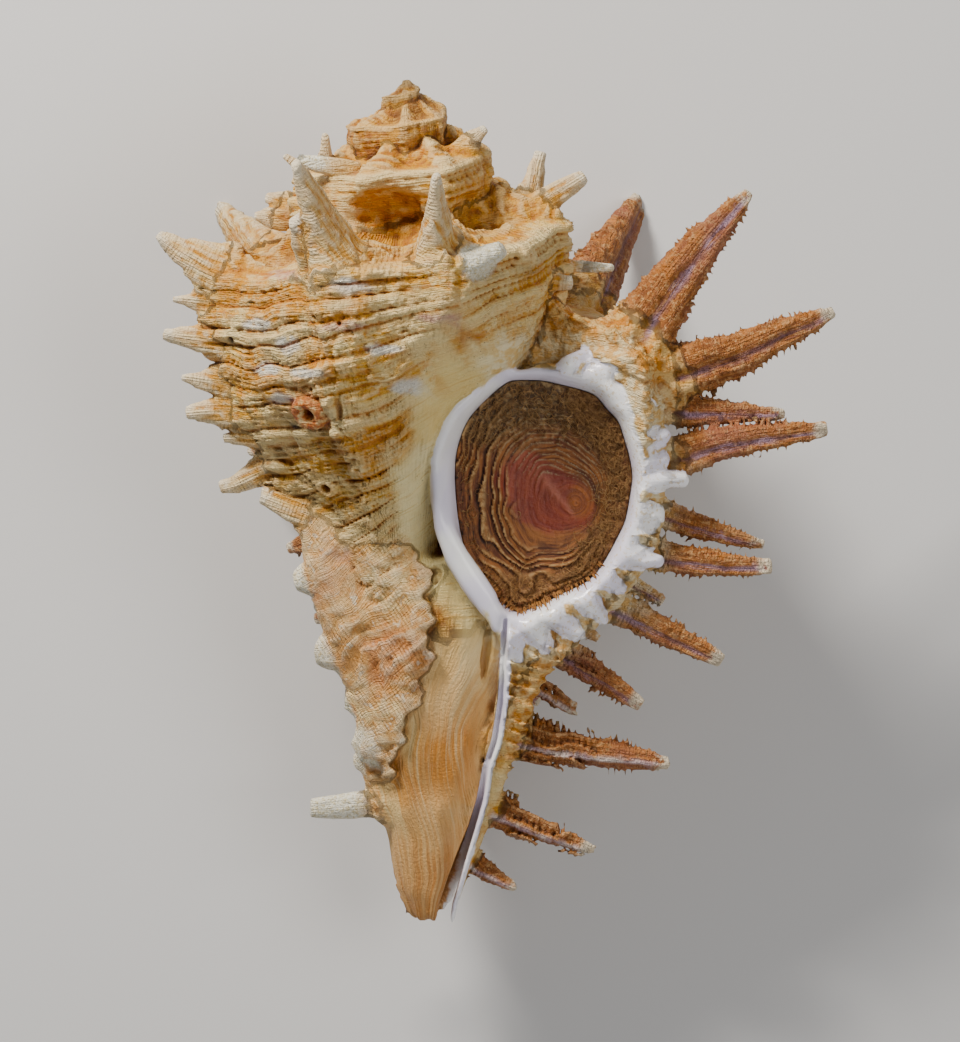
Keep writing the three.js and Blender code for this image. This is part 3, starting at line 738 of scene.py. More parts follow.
def extras(P, D, h, F):
    x, y, z = P[:, 0], P[:, 1], P[:, 2]
    # fasciole: the ridge of old canal ends on the left of the canal
    m = (x < 60) & (x > -150) & (y < -200) & (y > -560) & (z > -120)
    if m.any():
        Q = P[m]
        f = fasciole(Q)
        zn = fasciole_zone(Q[:, 0], Q[:, 1], F[m])
        # overlapping oblique scales, lumps and threads
        v = Q[:, 1] - 0.62 * Q[:, 0] + noise(Q, 30, 53) * 17 + noise(Q, 12, 56) * 4
        scale = ((v / 24.0) % 1.0) ** 1.4 * 5.0 - 2.2
        rough = scale * 0.50 * (0.3 + 0.9 * smooth(-0.3, 0.4, noise(Q, 38, 54))) + noise(Q, 27, 50) * 4.0 + noise(Q, 12, 51) * 2.2 + (ridged(Q, 15, 55) - 0.6) * 1.5 + 0.5 * np.cos(v * 2 * np.pi / 6.5)
        inner = smooth(-7.0, 5.0, Q[:, 0] - np.interp(Q[:, 1], LEFT_Y, LEFT_X))
        D[m] = smin(D[m] - zn * (6.0 + rough) * smooth(20, 8, D[m]) * inner, f - rough * 0.8, 7.0)
        D[m] = smin(D[m], knobs(Q), 6.0)
    m = None
    # the whorl before slopes down to the aperture
    m = (x > -40) & (x < 300) & (y < 0) & (y > -420) & (F > 70)
    if m.any():
        o = OPT(x[m], y[m])
        D[m] = smax(D[m], (F[m] - (LIP_PLANE + 2 + np.maximum(o - 8, 0) * 0.95)) * 0.72, 9.0)
        # columellar lip, raised along its outer edge
        s2 = RIMT(x[m], y[m])
        left = smooth(95, 60, x[m]) * smooth(-60, -95, y[m])
        D[m] -= 5.0 * np.exp(-((s2 + 7) / 6.5) ** 2) * left
        D[m] += 3.2 * np.exp(-((s2 - 4) / 3.6) ** 2) * left
    m = (x > 0) & (x < 100) & (y < -200) & (y > -340) & (F > 40)
    if m.any():
        D[m] = smin(D[m], ear(P[m]), 7.0)
    # the white edge of the lip along the canal slit
    m = (x > 20) & (x < 130) & (y < -315) & (y > -640) & (F > 0)
    if m.any():
        Q = P[m]
        xs = np.interp(Q[:, 1], SLIT[::-1, 1], SLIT[::-1, 0]); ws = np.interp(Q[:, 1], SLIT[::-1, 1], SLIT[::-1, 2])
        D[m] -= 3.2 * np.exp(-((Q[:, 0] - xs - ws - 3.0 - noise(Q, 30, 57) * 1.5) / 2.6) ** 2) * smooth(-318, -345, Q[:, 1])
    # right part of the lip below the aperture: scaly flounces facing the canal
    m = (x > 92) & (x < 190) & (y < -338) & (y > -560) & (F > 0)
    if m.any():
        Q = P[m]
        v = Q[:, 1] + 0.35 * Q[:, 0] + noise(Q, 28, 58) * 9
        D[m] -= (((v / 13.0) % 1.0) ** 1.6 * 4.6 - 1.8 + np.cos(Q[:, 0] * 2 * np.pi / 6.5 + noise(Q, 20, 59) * 2) * 0.7) * smooth(94, 106, Q[:, 0]) * smooth(-338, -352, Q[:, 1])
    for k, c, n, a, b in _ww:
        m = near_box(P, c, a + b + 8)
        if m.any():
            u, v = frame_of(n)
            q = P[m] - (c + n * b * 0.35)
            A, B, C = q @ u, q @ v, q @ n
            ring = np.hypot(np.hypot(A, B) - a, C) - b - noise(P[m], 5, 60) * 0.8
            D[m] = smin(D[m], ring, 2.0)
            hole = np.hypot(np.hypot(A, B), C * 0.5) - (a - b) * 0.95
            D[m] = smax(D[m], -hole, 2.0)
    for c, n, a, b, k in _bb:
        m = near_box(P, c, max(a, b) + 10)
        if m.any():
            u, v = frame_of(n)
            q = P[m] - c
            e = np.sqrt(((q @ u) / a) ** 2 + ((q @ v) / b) ** 2 + ((q @ n) / k) ** 2 + 1e-9)
            D[m] = smin(D[m], (e - 1) * min(a, b, k) - noise(P[m], 7, 61) * 1.5, 3.5)
    for c, n, a, b, k in _pp:
        m = near_box(P, c, max(a, b, k) + 8)
        if m.any():
            u, v = frame_of(n)
            q = P[m] - c
            e = np.sqrt(((q @ u) / a) ** 2 + ((q @ v) / b) ** 2 + ((q @ n) / k) ** 2 + 1e-9)
            D[m] = smax(D[m], -((e - 1) * min(a, b, k) + noise(P[m], 9, 62) * (1.2 if min(a, b) < 12 else 3.0)), 10.0 if min(a, b) > 14 else (3.0 if min(a, b) > 8 else 1.2))
    return np.maximum(D, REST_Z - z)


def mesh_from_grid(G):
    import openvdb
    g = openvdb.FloatGrid(3 * VOX)
    g.copyFromArray(G, tolerance=0.0)
    out = g.convertToQuads(isovalue=0.0)
    return np.asarray(out[0], float) * VOX + LO, np.asarray(out[1], int)


def box_blur(a, r):
    for ax in range(3):
        pad = [(0, 0)] * 3
        pad[ax] = (r + 1, r)
        c = np.cumsum(np.pad(a, pad, mode="edge"), axis=ax, dtype=np.float32)
        n = a.shape[ax]
        hi = [slice(None)] * 3; lo = [slice(None)] * 3
        hi[ax] = slice(2 * r + 1, 2 * r + 1 + n); lo[ax] = slice(0, n)
        a = (c[tuple(hi)] - c[tuple(lo)]) / np.float32(2 * r + 1)
    return a


def sample(G, P, step):
    q = (P - LO) / step
    q = np.clip(q, 0, np.array(G.shape) - 1.001)
    i = q.astype(int); f = q - i
    out = 0
    for dx in (0, 1):
        for dy in (0, 1):
            for dz in (0, 1):
                w = (f[:, 0] if dx else 1 - f[:, 0]) * (f[:, 1] if dy else 1 - f[:, 1]) * (f[:, 2] if dz else 1 - f[:, 2])
                out = out + w * G[i[:, 0] + dx, i[:, 1] + dy, i[:, 2] + dz]
    return out


# ------------------------------------------------------------------ where the model stands in the frame
_lo, _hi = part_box("operculum")
_lo, _hi = np.array(_lo), np.array(_hi)
SHIFT = np.array([_lo[0] - OPERCULUM[:, 0].min() * U, _lo[1] - OPERCULUM[:, 1].min() * U, 0.0 - REST_Z * U])


def to_world(P):
    return P * U + SHIFT


def new_mesh(name, pts, faces, smooth_shade=True):
    me = bpy.data.meshes.new(name)
    me.from_pydata([], [], [])
    pts = np.asarray(pts, np.float32); faces = np.asarray(faces, np.int32)
    me.vertices.add(len(pts)); me.vertices.foreach_set("co", pts.ravel())
    k = faces.shape[1]
    me.loops.add(len(faces) * k); me.loops.foreach_set("vertex_index", faces.ravel())
    me.polygons.add(len(faces))
    me.polygons.foreach_set("loop_start", np.arange(0, len(faces) * k, k, dtype=np.int32))
    me.update(calc_edges=True)
    if smooth_shade:
        me.polygons.foreach_set("use_smooth", np.ones(len(faces), bool))
    ob = bpy.data.objects.new(name, me)
    bpy.context.scene.collection.objects.link(ob)
    return ob


def co_of(ob):
    a = np.empty(len(ob.data.vertices) * 3, np.float32)
    ob.data.vertices.foreach_get("co", a)
    return a.reshape(-1, 3)


def set_attr(ob, name, v):
    v = np.asarray(v, np.float32)
    if v.ndim == 1:
        a = ob.data.attributes.new(name, "FLOAT", "POINT"); a.data.foreach_set("value", v)
    else:
        a = ob.data.attributes.new(name, "FLOAT_VECTOR", "POINT"); a.data.foreach_set("vector", v.ravel())


import time as _t
_t0 = _t.time()
G = build_grid()
print("grid", G.shape, round(_t.time() - _t0, 1), "s")
pts, quads = mesh_from_grid(G)
print("mesh", len(pts), len(quads), round(_t.time() - _t0, 1), "s")


def components(nv, faces):
    k = faces.shape[1]
    a = np.concatenate([faces[:, i] for i in range(k)])
    b = np.concatenate([faces[:, (i + 1) % k] for i in range(k)])
    lab = np.arange(nv)
    while True:
        m = np.minimum(lab[a], lab[b])
        new = lab.copy()
        np.minimum.at(new, lab[a], m)
        np.minimum.at(new, lab[b], m)
        while True:
            nxt = new[new]
            if (nxt == new).all():
                break
            new = nxt
        new = new[lab]
        if (new == lab).all():
            return lab
        lab = new


_lab = components(len(pts), quads)
_main = np.bincount(_lab).argmax()
_keep = _lab == _main
quads = quads[_keep[quads[:, 0]]]
_idx = np.cumsum(_keep) - 1
pts, quads = pts[_keep], _idx[quads]
print("largest body", len(pts), len(quads), round(_t.time() - _t0, 1), "s")

shell = new_mesh("shell_surface", to_world(pts), quads)
LIMIT = 194000
tri = len(quads) * 2
if tri > LIMIT:
    mod = shell.modifiers.new("dec", "DECIMATE")
    mod.ratio = LIMIT / tri
    mod.use_collapse_triangulate = True
    bpy.context.view_layer.objects.active = shell
    with bpy.context.temp_override(object=shell, active_object=shell, selected_objects=[shell]):
        bpy.ops.object.modifier_apply(modifier="dec")
print("shell triangles", sum(len(p.vertices) - 2 for p in shell.data.polygons), round(_t.time() - _t0, 1), "s")

# ------------------------------------------------------------------ what each place on the shell is
P = ((co_of(shell).astype(float) - SHIFT) / U)
nor = np.empty(len(P) * 3, np.float32)
shell.data.vertices.foreach_get("normal", nor)
nor = nor.reshape(-1, 3)
# how enclosed each place is, from blurred occupancy at two sizes; the shell material turns it into painted shade in
# recesses and a painted highlight on ridges
occ = np.clip(0.5 - G / (2 * VOX), 0, 1)
s_blur = box_blur(box_blur(occ, max(1, int(round(4 / VOX)))), max(1, int(round(4 / VOX))))
cav_s = sample(s_blur, P + nor * 0.5, VOX)
del s_blur
occ2 = occ[:occ.shape[0] // 2 * 2, :occ.shape[1] // 2 * 2, :occ.shape[2] // 2 * 2]
occ2 = occ2.reshape(occ2.shape[0] // 2, 2, occ2.shape[1] // 2, 2, occ2.shape[2] // 2, 2).mean((1, 3, 5))
l_blur = box_blur(box_blur(occ2, max(1, int(round(9 / VOX)))), max(1, int(round(9 / VOX))))
cav_l = sample(l_blur, P + nor * 3, VOX * 2)
del l_blur, occ, occ2
print("cavity", np.percentile(cav_s, [2, 25, 50, 75, 98]).round(3), np.percentile(cav_l, [2, 25, 50, 75, 98]).round(3))

Pf = P.astype(np.float32)
D, N_, ETA, RHO, W, h, F, can, s2, rim = shell_field(Pf, False)
o = OPT(Pf[:, 0], Pf[:, 1])
R_ = at(_R, N_)
spine = np.zeros(len(P)); tipw = np.zeros(len(P)); lilac = np.zeros(len(P)); stub = np.zeros(len(P)); cream = np.zeros(len(P))
PATCHES = [(-60, -29, 27, 6, 1), (-118, -47, 12, 9, 0), (-99, -75, 17, 6, 0), (5, -88, 20, 9, 0), (-148, -26, 16, 6, 0), (-20, -50, 22, 6, 0),
           (-120, -100, 14, 6, 0), (-55, 10, 24, 8, 0), (-120, 22, 20, 7, 1), (30, -20, 22, 5, 1), (-66, -255, 12, 7, 0), (-140, -70, 14, 6, 0)]
su = np.zeros(len(P)); sv = np.zeros(len(P)); ridgeline = np.zeros(len(P))
for sp in SPINES:
    m = np.where(((P > sp.lo) & (P < sp.hi)).all(1))[0]
    if not len(m):
        continue
    d, s, A, B, hw = sp.sdf(P[m], False)
    on = smooth(7.0, 2.0, d) * smooth(-0.03, 0.24, s + noise(P[m], 20, 74) * 0.06)
    side = 0.16 * hw
    if sp.kind in (0, 3):
        spine[m] = np.maximum(spine[m], on)
        if sp.grooved:
            wd = 3.4 if sp.wb > 28 else 2.7
            gr = smooth(wd, 1.2, np.abs(A - 0.20 * hw + noise(P[m], 12, 73) * 0.9)) * smooth(-0.1, 0.15, B / hw) * smooth(6.0, 2.0, d)
            gr = gr * smooth(0.0, 0.06, s) * smooth(1.0, 0.94, s)
            if sp.ridge:
                ridgeline[m] = np.maximum(ridgeline[m], gr)
            else:
                lilac[m] = np.maximum(lilac[m], gr)
    elif sp.kind == 1:
        cream[m] = np.maximum(cream[m], on)
    else:
        stub[m] = np.maximum(stub[m], smooth(7.0, 2.0, d) * smooth(0.1, 0.4, s))
    tl = min(26.0, 0.3 * sp.L)
    tipw[m] = np.maximum(tipw[m], smooth(6.0, 2.0, d) * smooth(1 - tl / sp.L, 1.0, s))
    k = on > 0.5
    su[m[k]] = A[k]; sv[m[k]] = s[k] * sp.L
near_ear = smooth(4.0, -1.0, ear(Pf)) * (F > 40)
stub = np.maximum(stub, smooth(4.0, -1.0, knobs(Pf)))
lobe = smooth(4.5, 0.5, tongues(Pf) + noise(Pf, 10, 72) * 2.0) * smooth(46, 66, F)
rimm = smooth(-6, 2, -s2) * smooth(22, 6, LIP_PLANE - F)
wall = smooth(7, 2, o) * smooth(20, 45, F) * (F < 100)
upper = smooth(-150, -95, Pf[:, 1])
colum = smooth(95, 60, Pf[:, 0]) * smooth(34, 26, o) * smooth(60, 78, F) * smooth(1.5, -1.5, s2)
toplip = smooth(20, 10, o) * smooth(60, 78, F) * smooth(-105, -80, Pf[:, 1])
rightlip = smooth(20, 10, o + noise(Pf, 16, 71) * 5) * smooth(60, 74, F) * smooth(60, 95, Pf[:, 0])
white = np.clip(np.maximum.reduce([wall, colum, toplip, rightlip, lobe, near_ear]), 0, 1)
slx = np.interp(-Pf[:, 1], -SLIT[:, 1], SLIT[:, 0])
slitedge = smooth(6.5, 3.5, SLITT(Pf[:, 0], Pf[:, 1])) * smooth(44, 30, rim_front(Pf[:, 1]) - F) * (Pf[:, 1] < -318)
white = np.maximum(white, slitedge * smooth(-5.5, -1.5, Pf[:, 0] - slx))
white = white * (1 - smooth(0.3, 0.8, lobe) * 0.0)
zone = fasciole_zone(Pf[:, 0], Pf[:, 1], F)
canalm = smooth(10, 2, can) * smooth(-318, -352, Pf[:, 1] + noise(Pf, 30, 76) * 14) * (1 - spine) * (1 - stub) * (1 - zone)
canalm = canalm * smooth(108, 100, Pf[:, 0] + np.maximum(0, -(Pf[:, 1] + 440)) * 0.35)
fasc = np.maximum(smooth(9, 2, fasciole(P)), zone) * (Pf[:, 1] < -215) * (1 - spine)
callus = smooth(42, 22, s2 + noise(Pf, 36, 90) * 15) * smooth(150, 95, Pf[:, 0]) * smooth(40, 60, F) * smooth(-385, -345, Pf[:, 1]) * (1 - zone) * smooth(-24, -48, Pf[:, 1])
# a few grey, lilac and chalky places on the cords
patchw = np.zeros(len(P)); patchl = np.zeros(len(P))
for px_, py_, rx, ry, kind in PATCHES:
    q = (Pf[:, 0] - px_ + noise(Pf, 22, 77) * rx * 0.35) ** 2 / rx ** 2 + (Pf[:, 1] - py_ + noise(Pf, 14, 78) * ry * 0.6) ** 2 / ry ** 2
    w_ = smooth(1.15, 0.45, q) * (F > 0)
    if kind: patchl = np.maximum(patchl, w_)
    else: patchw = np.maximum(patchw, w_)
varix = W * smooth(0.05, -0.05, ETA)
lipvarix = smooth(-14, 6, N_ * 360) * smooth(46, 30, D) * smooth(80, 120, Pf[:, 0])
lipcream = smooth(78, 30, o + noise(Pf, 26, 92) * 16 + noise(Pf, 10, 93) * 5) * smooth(10, 45, F) * smooth(60, 100, Pf[:, 0])
# mask over a few pits at the shoulder, where near-black painted shade goes
hollow_shade = np.zeros(len(P))
for c, n, a, b, k in _pp[9:13]:
    u, v = frame_of(n)
    q = P - c
    e = np.sqrt(((q @ u) / (a + 5)) ** 2 + ((q @ v) / (b + 5)) ** 2 + ((q @ n) / (k + 5)) ** 2)
    hollow_shade = np.maximum(hollow_shade, smooth(1.25, 0.62, e + noise(Pf, 22, 79) * 0.22))
worm = np.zeros(len(P))
c, n = _ww[0][1], _ww[0][2]
worm = smooth(30, 16, np.linalg.norm(P - c, axis=1))
set_attr(shell, "m_spine", spine); set_attr(shell, "m_tip", tipw); set_attr(shell, "m_lilac", lilac)
set_attr(shell, "m_stub", stub); set_attr(shell, "m_cream", cream); set_attr(shell, "m_white", white)
set_attr(shell, "m_canal", canalm); set_attr(shell, "m_fasc", fasc); set_attr(shell, "m_varix", varix)
set_attr(shell, "m_ramp", smooth(-0.03, 0.07, ETA + noise(Pf, 24, 96) * 0.03) * (1 - spine) * (1 - 0.7 * cream) * (N_ > -1.75)); set_attr(shell, "m_cantip", smooth(-500, -590, Pf[:, 1] + noise(Pf, 30, 97) * 18)); set_attr(shell, "m_lipvarix", lipvarix); set_attr(shell, "m_lipcream", lipcream); set_attr(shell, "m_hollow_shade", hollow_shade); set_attr(shell, "m_worm", worm)
set_attr(shell, "m_cantop", smooth(-430, -350, Pf[:, 1] + noise(Pf, 40, 91) * 20)); set_attr(shell, "m_side", smooth(0.02, 0.16, ETA) * smooth(-0.2, -0.5, -N_ - 1.6))
set_attr(shell, "m_ridge", ridgeline); set_attr(shell, "m_callus", callus); set_attr(shell, "m_chalk", patchw); set_attr(shell, "m_violet", patchl)
set_attr(shell, "m_spire", smooth(-1.55, -2.3, N_)); set_attr(shell, "m_lobe", lobe)
set_attr(shell, "m_cavs", cav_s); set_attr(shell, "m_cavl", cav_l)
arc = N_ * 2 * np.pi * R_
lift = smooth(-0.66, -0.90, N_) * smooth(-1.2, -1.02, N_) * smooth(-0.05, -0.35, ETA)
ew = ETA + noise(Pf, 54, 1) * 0.046 + noise(Pf, 23, 2) * 0.017 - 0.26 * lift
cord = 1 + (cord_at(ew) - 1) * smooth(0.12, -0.02, ETA) * smooth(-2.3, -1.6, ETA) * (1 - callus) * (1 - canalm) * (1 - fasc)
set_attr(shell, "m_cord", cord)
flow = np.stack([arc, ew * R_, RHO * R_], -1)
vf = P[:, 1] - 0.62 * P[:, 0] + noise(Pf, 30, 53) * 17 + noise(Pf, 12, 56) * 4
onf = fasc > 0.5
flow[onf] = np.stack([P[:, 0] * 0.85 + P[:, 1] * 0.5, vf * 1.1, vf * 0 + 300], -1)[onf]
ca = np.arctan2(F - np.interp(h, CANAL[::-1, 0], CANAL[::-1, 2]), Pf[:, 0] - np.interp(h, CANAL[::-1, 0], CANAL[::-1, 1]))
onc = canalm > 0.4
flow[onc] = np.stack([h, ca * 46 + 9 * np.sin(h / 55.0) + noise(Pf, 70, 94) * 10 + noise(Pf, 22, 95) * 2.5, h * 0 + 900], -1)[onc]
on = spine + cream > 0.5
flow[on] = np.stack([sv, su * 1.0, su * 0 + 500], -1)[on]
set_attr(shell, "flow", flow)
set_attr(shell, "unit", P)
for k, sc_, oc, sd in (("n_patch", 66, 4, 101), ("n_28", 36, 4, 102), ("n_11", 90, 2, 103), ("n_20", 50, 3, 104), ("n_35", 29, 2, 105), ("n_45", 22, 3, 106)):
    set_attr(shell, k, 0.5 + 0.45 * fbm(Pf + 12 * noise(Pf, 40, sd + 20)[:, None], sc_, oc, sd))
set_attr(shell, "n_big", 0.5 + 0.45 * fbm((flow * np.array([0.0065, 0.034, 0.02])).astype(np.float32), 1.0, 4, 107))
set_attr(shell, "n_wave", 9.0 * (0.5 + 0.45 * fbm(Pf, 20, 2, 108)))
print("attributes", round(_t.time() - _t0, 1), "s")


# ------------------------------------------------------------------ materials
def mat_new(name):
    m = bpy.data.materials.new(name)
    m.use_nodes = True
    nt = m.node_tree
    nt.nodes.clear()
    return m, nt


class NT:
    """short hand for building node trees"""

    def __init__(self, nt):
        self.nt, self.L = nt, nt.links

    def node(self, kind, **kw):
        n = self.nt.nodes.new(kind)
        for k, v in kw.items():
            setattr(n, k, v)
        return n

    def put(self, sock, v):
        if v is None:
            return
        if isinstance(v, bpy.types.NodeSocket):
            self.L.new(v, sock)
        else:
            if isinstance(v, (tuple, list)) and len(v) == 3 and sock.type == "RGBA":
                v = tuple(v) + (1.0,)
            sock.default_value = v

    def attr(self, name, vec=False):
        n = self.node("ShaderNodeAttribute", attribute_name=name)
        return n.outputs["Vector"] if vec else n.outputs["Fac"]

    def math(self, op, a, b=None, c=None, clamp=False):
        n = self.node("ShaderNodeMath", operation=op, use_clamp=clamp)
        self.put(n.inputs[0], a)
        if b is not None: self.put(n.inputs[1], b)
        if c is not None: self.put(n.inputs[2], c)
        return n.outputs[0]

    def vmul(self, v, s):
        n = self.node("ShaderNodeVectorMath", operation="MULTIPLY")
        self.put(n.inputs[0], v); n.inputs[1].default_value = s
        return n.outputs[0]

    def noise(self, vec, scale, detail=3, rough=0.55, dist=0.0, out="Fac"):
        n = self.node("ShaderNodeTexNoise")
        self.put(n.inputs["Vector"], vec)
        n.inputs["Scale"].default_value = scale
        n.inputs["Detail"].default_value = detail
        n.inputs["Roughness"].default_value = rough
        n.inputs["Distortion"].default_value = dist
        return n.outputs[out]

    def voro(self, vec, scale, feature="F1", out="Distance"):
        n = self.node("ShaderNodeTexVoronoi", feature=feature)
        self.put(n.inputs["Vector"], vec)
        n.inputs["Scale"].default_value = scale
        return n.outputs[out]

    def ramp(self, v, a, b, smooth_=True):
        n = self.node("ShaderNodeMapRange", interpolation_type="SMOOTHSTEP" if smooth_ else "LINEAR")
        self.put(n.inputs[0], v)
        n.inputs[1].default_value, n.inputs[2].default_value = a, b
        n.inputs[3].default_value, n.inputs[4].default_value = 0.0, 1.0
        return n.outputs[0]

    def mix(self, f, a, b, mode="MIX"):
        n = self.node("ShaderNodeMix", data_type="RGBA", blend_type=mode)
        self.put(n.inputs[0], f)
        self.put(n.inputs[6], a); self.put(n.inputs[7], b)
        return n.outputs[2]

    def fmix(self, f, a, b):
        n = self.node("ShaderNodeMix", data_type="FLOAT")
        self.put(n.inputs[0], f); self.put(n.inputs[2], a); self.put(n.inputs[3], b)
        return n.outputs[0]


def srgb(r, g, b):
    f = lambda c: c / 12.92 if c <= 0.04045 else ((c + 0.055) / 1.055) ** 2.4
    return (f(r / 255), f(g / 255), f(b / 255), 1.0)


def shell_material():
    m, nt = mat_new("shell_lime")
    t = NT(nt)
    A = t.attr
    unit = A("unit", True)
    flow = A("flow", True)
    cavs, cavl = A("m_cavs"), A("m_cavl")

    def part(x, k):
        return t.math("MULTIPLY", x, k)
    # streaks that follow the cords, patches, grain
    streak = t.noise(t.vmul(flow, (0.009, 0.105, 0.03)), 1.0, 3, 0.62, 0.5)
    streak2 = t.noise(t.vmul(flow, (0.020, 0.30, 0.05)), 1.0, 2, 0.62)
    thread = t.noise(t.vmul(flow, (0.03, 0.62, 0.10)), 1.0, 2, 0.5)
    patch = A("n_patch")
    patch2 = t.noise(unit, 0.042, 4, 0.66)
    patch3 = t.noise(unit, 0.10, 2, 0.6)
    grain = t.noise(unit, 0.36, 2, 0.7)
    speck = t.voro(unit, 0.20)
    # base: ivory, straw and tan in wavy streaks
    col = t.mix(t.ramp(streak, 0.38, 0.60), srgb(232, 200, 138), srgb(210, 156, 80))
    col = t.mix(part(t.ramp(patch, 0.46, 0.64), 0.65), col, srgb(204, 144, 86))
    col = t.mix(part(t.ramp(streak2, 0.53, 0.68), 0.55), col, srgb(192, 124, 68))
    col = t.mix(part(t.ramp(patch3, 0.50, 0.66), 0.5), col, srgb(204, 142, 104))
    col = t.mix(part(t.ramp(patch2, 0.48, 0.62), 0.8), col, srgb(238, 216, 166))
    big = A("n_big")
    col = t.mix(part(t.ramp(big, 0.53, 0.66), 0.5), col, srgb(204, 142, 82))
    col = t.mix(part(t.ramp(big, 0.50, 0.38), 0.65), col, srgb(238, 216, 168))
    col = t.mix(part(t.ramp(streak, 0.36, 0.26), 0.7), col, srgb(222, 204, 164))
    col = t.mix(part(t.ramp(A("n_28"), 0.56, 0.70), 0.7), col, srgb(224, 202, 156))
    chalk = t.math("MULTIPLY", A("m_chalk"), t.ramp(patch3, 0.25, 0.45))
    col = t.mix(part(chalk, 0.85), col, srgb(222, 220, 212))
    violet = t.math("MULTIPLY", A("m_violet"), t.ramp(patch3, 0.25, 0.45))
    col = t.mix(part(violet, 0.75), col, srgb(184, 146, 138))
    # the low parts between cords hold orange to brown stain; below, the small grooves get stain plus painted shade, the
    # deepest pits and broad recesses get painted shade, and the ridges are worn pale with a painted highlight
    cord = t.math("ADD", A("m_cord"), part(t.math("SUBTRACT", patch2, 0.5), 0.8))
    col = t.mix(part(t.ramp(cord, 0.60, 0.12), 0.62), col, srgb(172, 106, 56))
    # small grooves: brown stain plus painted shade
    groove_stain_and_shade = t.ramp(t.math("ADD", cavs, part(t.math("SUBTRACT", grain, 0.5), 0.12)), 0.515, 0.60)
    col = t.mix(part(groove_stain_and_shade, 0.55), col, srgb(160, 94, 48))
    # painted shade in the deepest pits
    deep_pit_shade = t.ramp(t.math("ADD", cavs, part(t.math("SUBTRACT", patch3, 0.5), 0.10)), 0.61, 0.72)
    col = t.mix(part(deep_pit_shade, 0.75), col, srgb(92, 48, 22))
    # painted shade in broad recesses
    broad_recess_shade = t.ramp(t.math("ADD", cavl, part(t.math("SUBTRACT", patch2, 0.5), 0.10)), 0.53, 0.66)
    col = t.mix(part(broad_recess_shade, 0.35), col, srgb(156, 92, 48))
    # pale ridges: wear plus painted highlight
    crest_wear_and_highlight = t.ramp(t.math("ADD", cavs, part(t.math("SUBTRACT", patch2, 0.5), 0.12)), 0.465, 0.36)
    col = t.mix(part(crest_wear_and_highlight, 0.36), col, srgb(242, 224, 182))
    # spire: straw-brown, with painted shade in its recesses and a painted highlight on its ridges
    sp = A("m_spire")
    spc = t.mix(t.ramp(patch3, 0.38, 0.62), srgb(202, 156, 100), srgb(146, 94, 52))
    spc = t.mix(part(t.ramp(cavs, 0.50, 0.60), 0.8), spc, srgb(92, 50, 24))
    spc = t.mix(part(t.ramp(cavs, 0.45, 0.35), 0.55), spc, srgb(228, 200, 152))
    col = t.mix(part(sp, 0.85), col, spc)
    rmp = t.mix(t.ramp(patch3, 0.40, 0.60), srgb(206, 158, 100), srgb(160, 104, 56))
    # shoulder ramps: painted shade in recesses, painted highlight on ridges
    rmp = t.mix(part(t.ramp(cavs, 0.51, 0.61), 0.7), rmp, srgb(104, 58, 28))
    rmp = t.mix(part(t.ramp(cavs, 0.46, 0.36), 0.5), rmp, srgb(232, 208, 162))
    col = t.mix(part(A("m_ramp"), 0.75), col, rmp)
    # shoulder hollows: near-black painted shade
    hollow_shade = t.math("MULTIPLY", A("m_hollow_shade"), t.ramp(t.math("ADD", cavl, part(t.math("SUBTRACT", patch3, 0.5), 0.20)), 0.36, 0.54))
    hollow_shade_colour = t.mix(t.ramp(patch3, 0.40, 0.60), srgb(66, 32, 17), srgb(26, 12, 7))
    col = t.mix(part(hollow_shade, 0.9), col, hollow_shade_colour)
    # smooth cream glaze beside the aperture
    glaze = t.mix(t.ramp(patch, 0.42, 0.62), srgb(246, 234, 188), srgb(236, 216, 160))
    glaze = t.mix(part(t.ramp(streak2, 0.55, 0.70), 0.5), glaze, srgb(204, 168, 104))
    col = t.mix(part(A("m_callus"), 0.82), col, glaze)
    # fasciole: flesh, cream and orange-brown scales
    fc = t.mix(t.ramp(patch3, 0.38, 0.62), srgb(234, 210, 166), srgb(218, 178, 130))
    fc = t.mix(part(t.ramp(patch2, 0.50, 0.64), 0.6), fc, srgb(204, 138, 90))
    fc = t.mix(part(t.ramp(patch, 0.40, 0.54), 0.4), fc, srgb(208, 150, 104))
    fc = t.mix(part(t.ramp(patch3, 0.58, 0.72), 0.8), fc, srgb(236, 226, 202))
    fc = t.mix(part(t.ramp(patch, 0.55, 0.68), 0.65), fc, srgb(196, 134, 106))
    # fasciole: small grooves get stain plus painted shade, ridges wear plus painted highlight, the deepest pits painted
    # shade
    fc = t.mix(part(groove_stain_and_shade, 0.30), fc, srgb(166, 104, 64))
    fc = t.mix(part(crest_wear_and_highlight, 0.30), fc, srgb(242, 230, 204))
    fc = t.mix(part(deep_pit_shade, 0.7), fc, srgb(84, 46, 24))
    col = t.mix(part(A("m_fasc"), 0.85), col, fc)
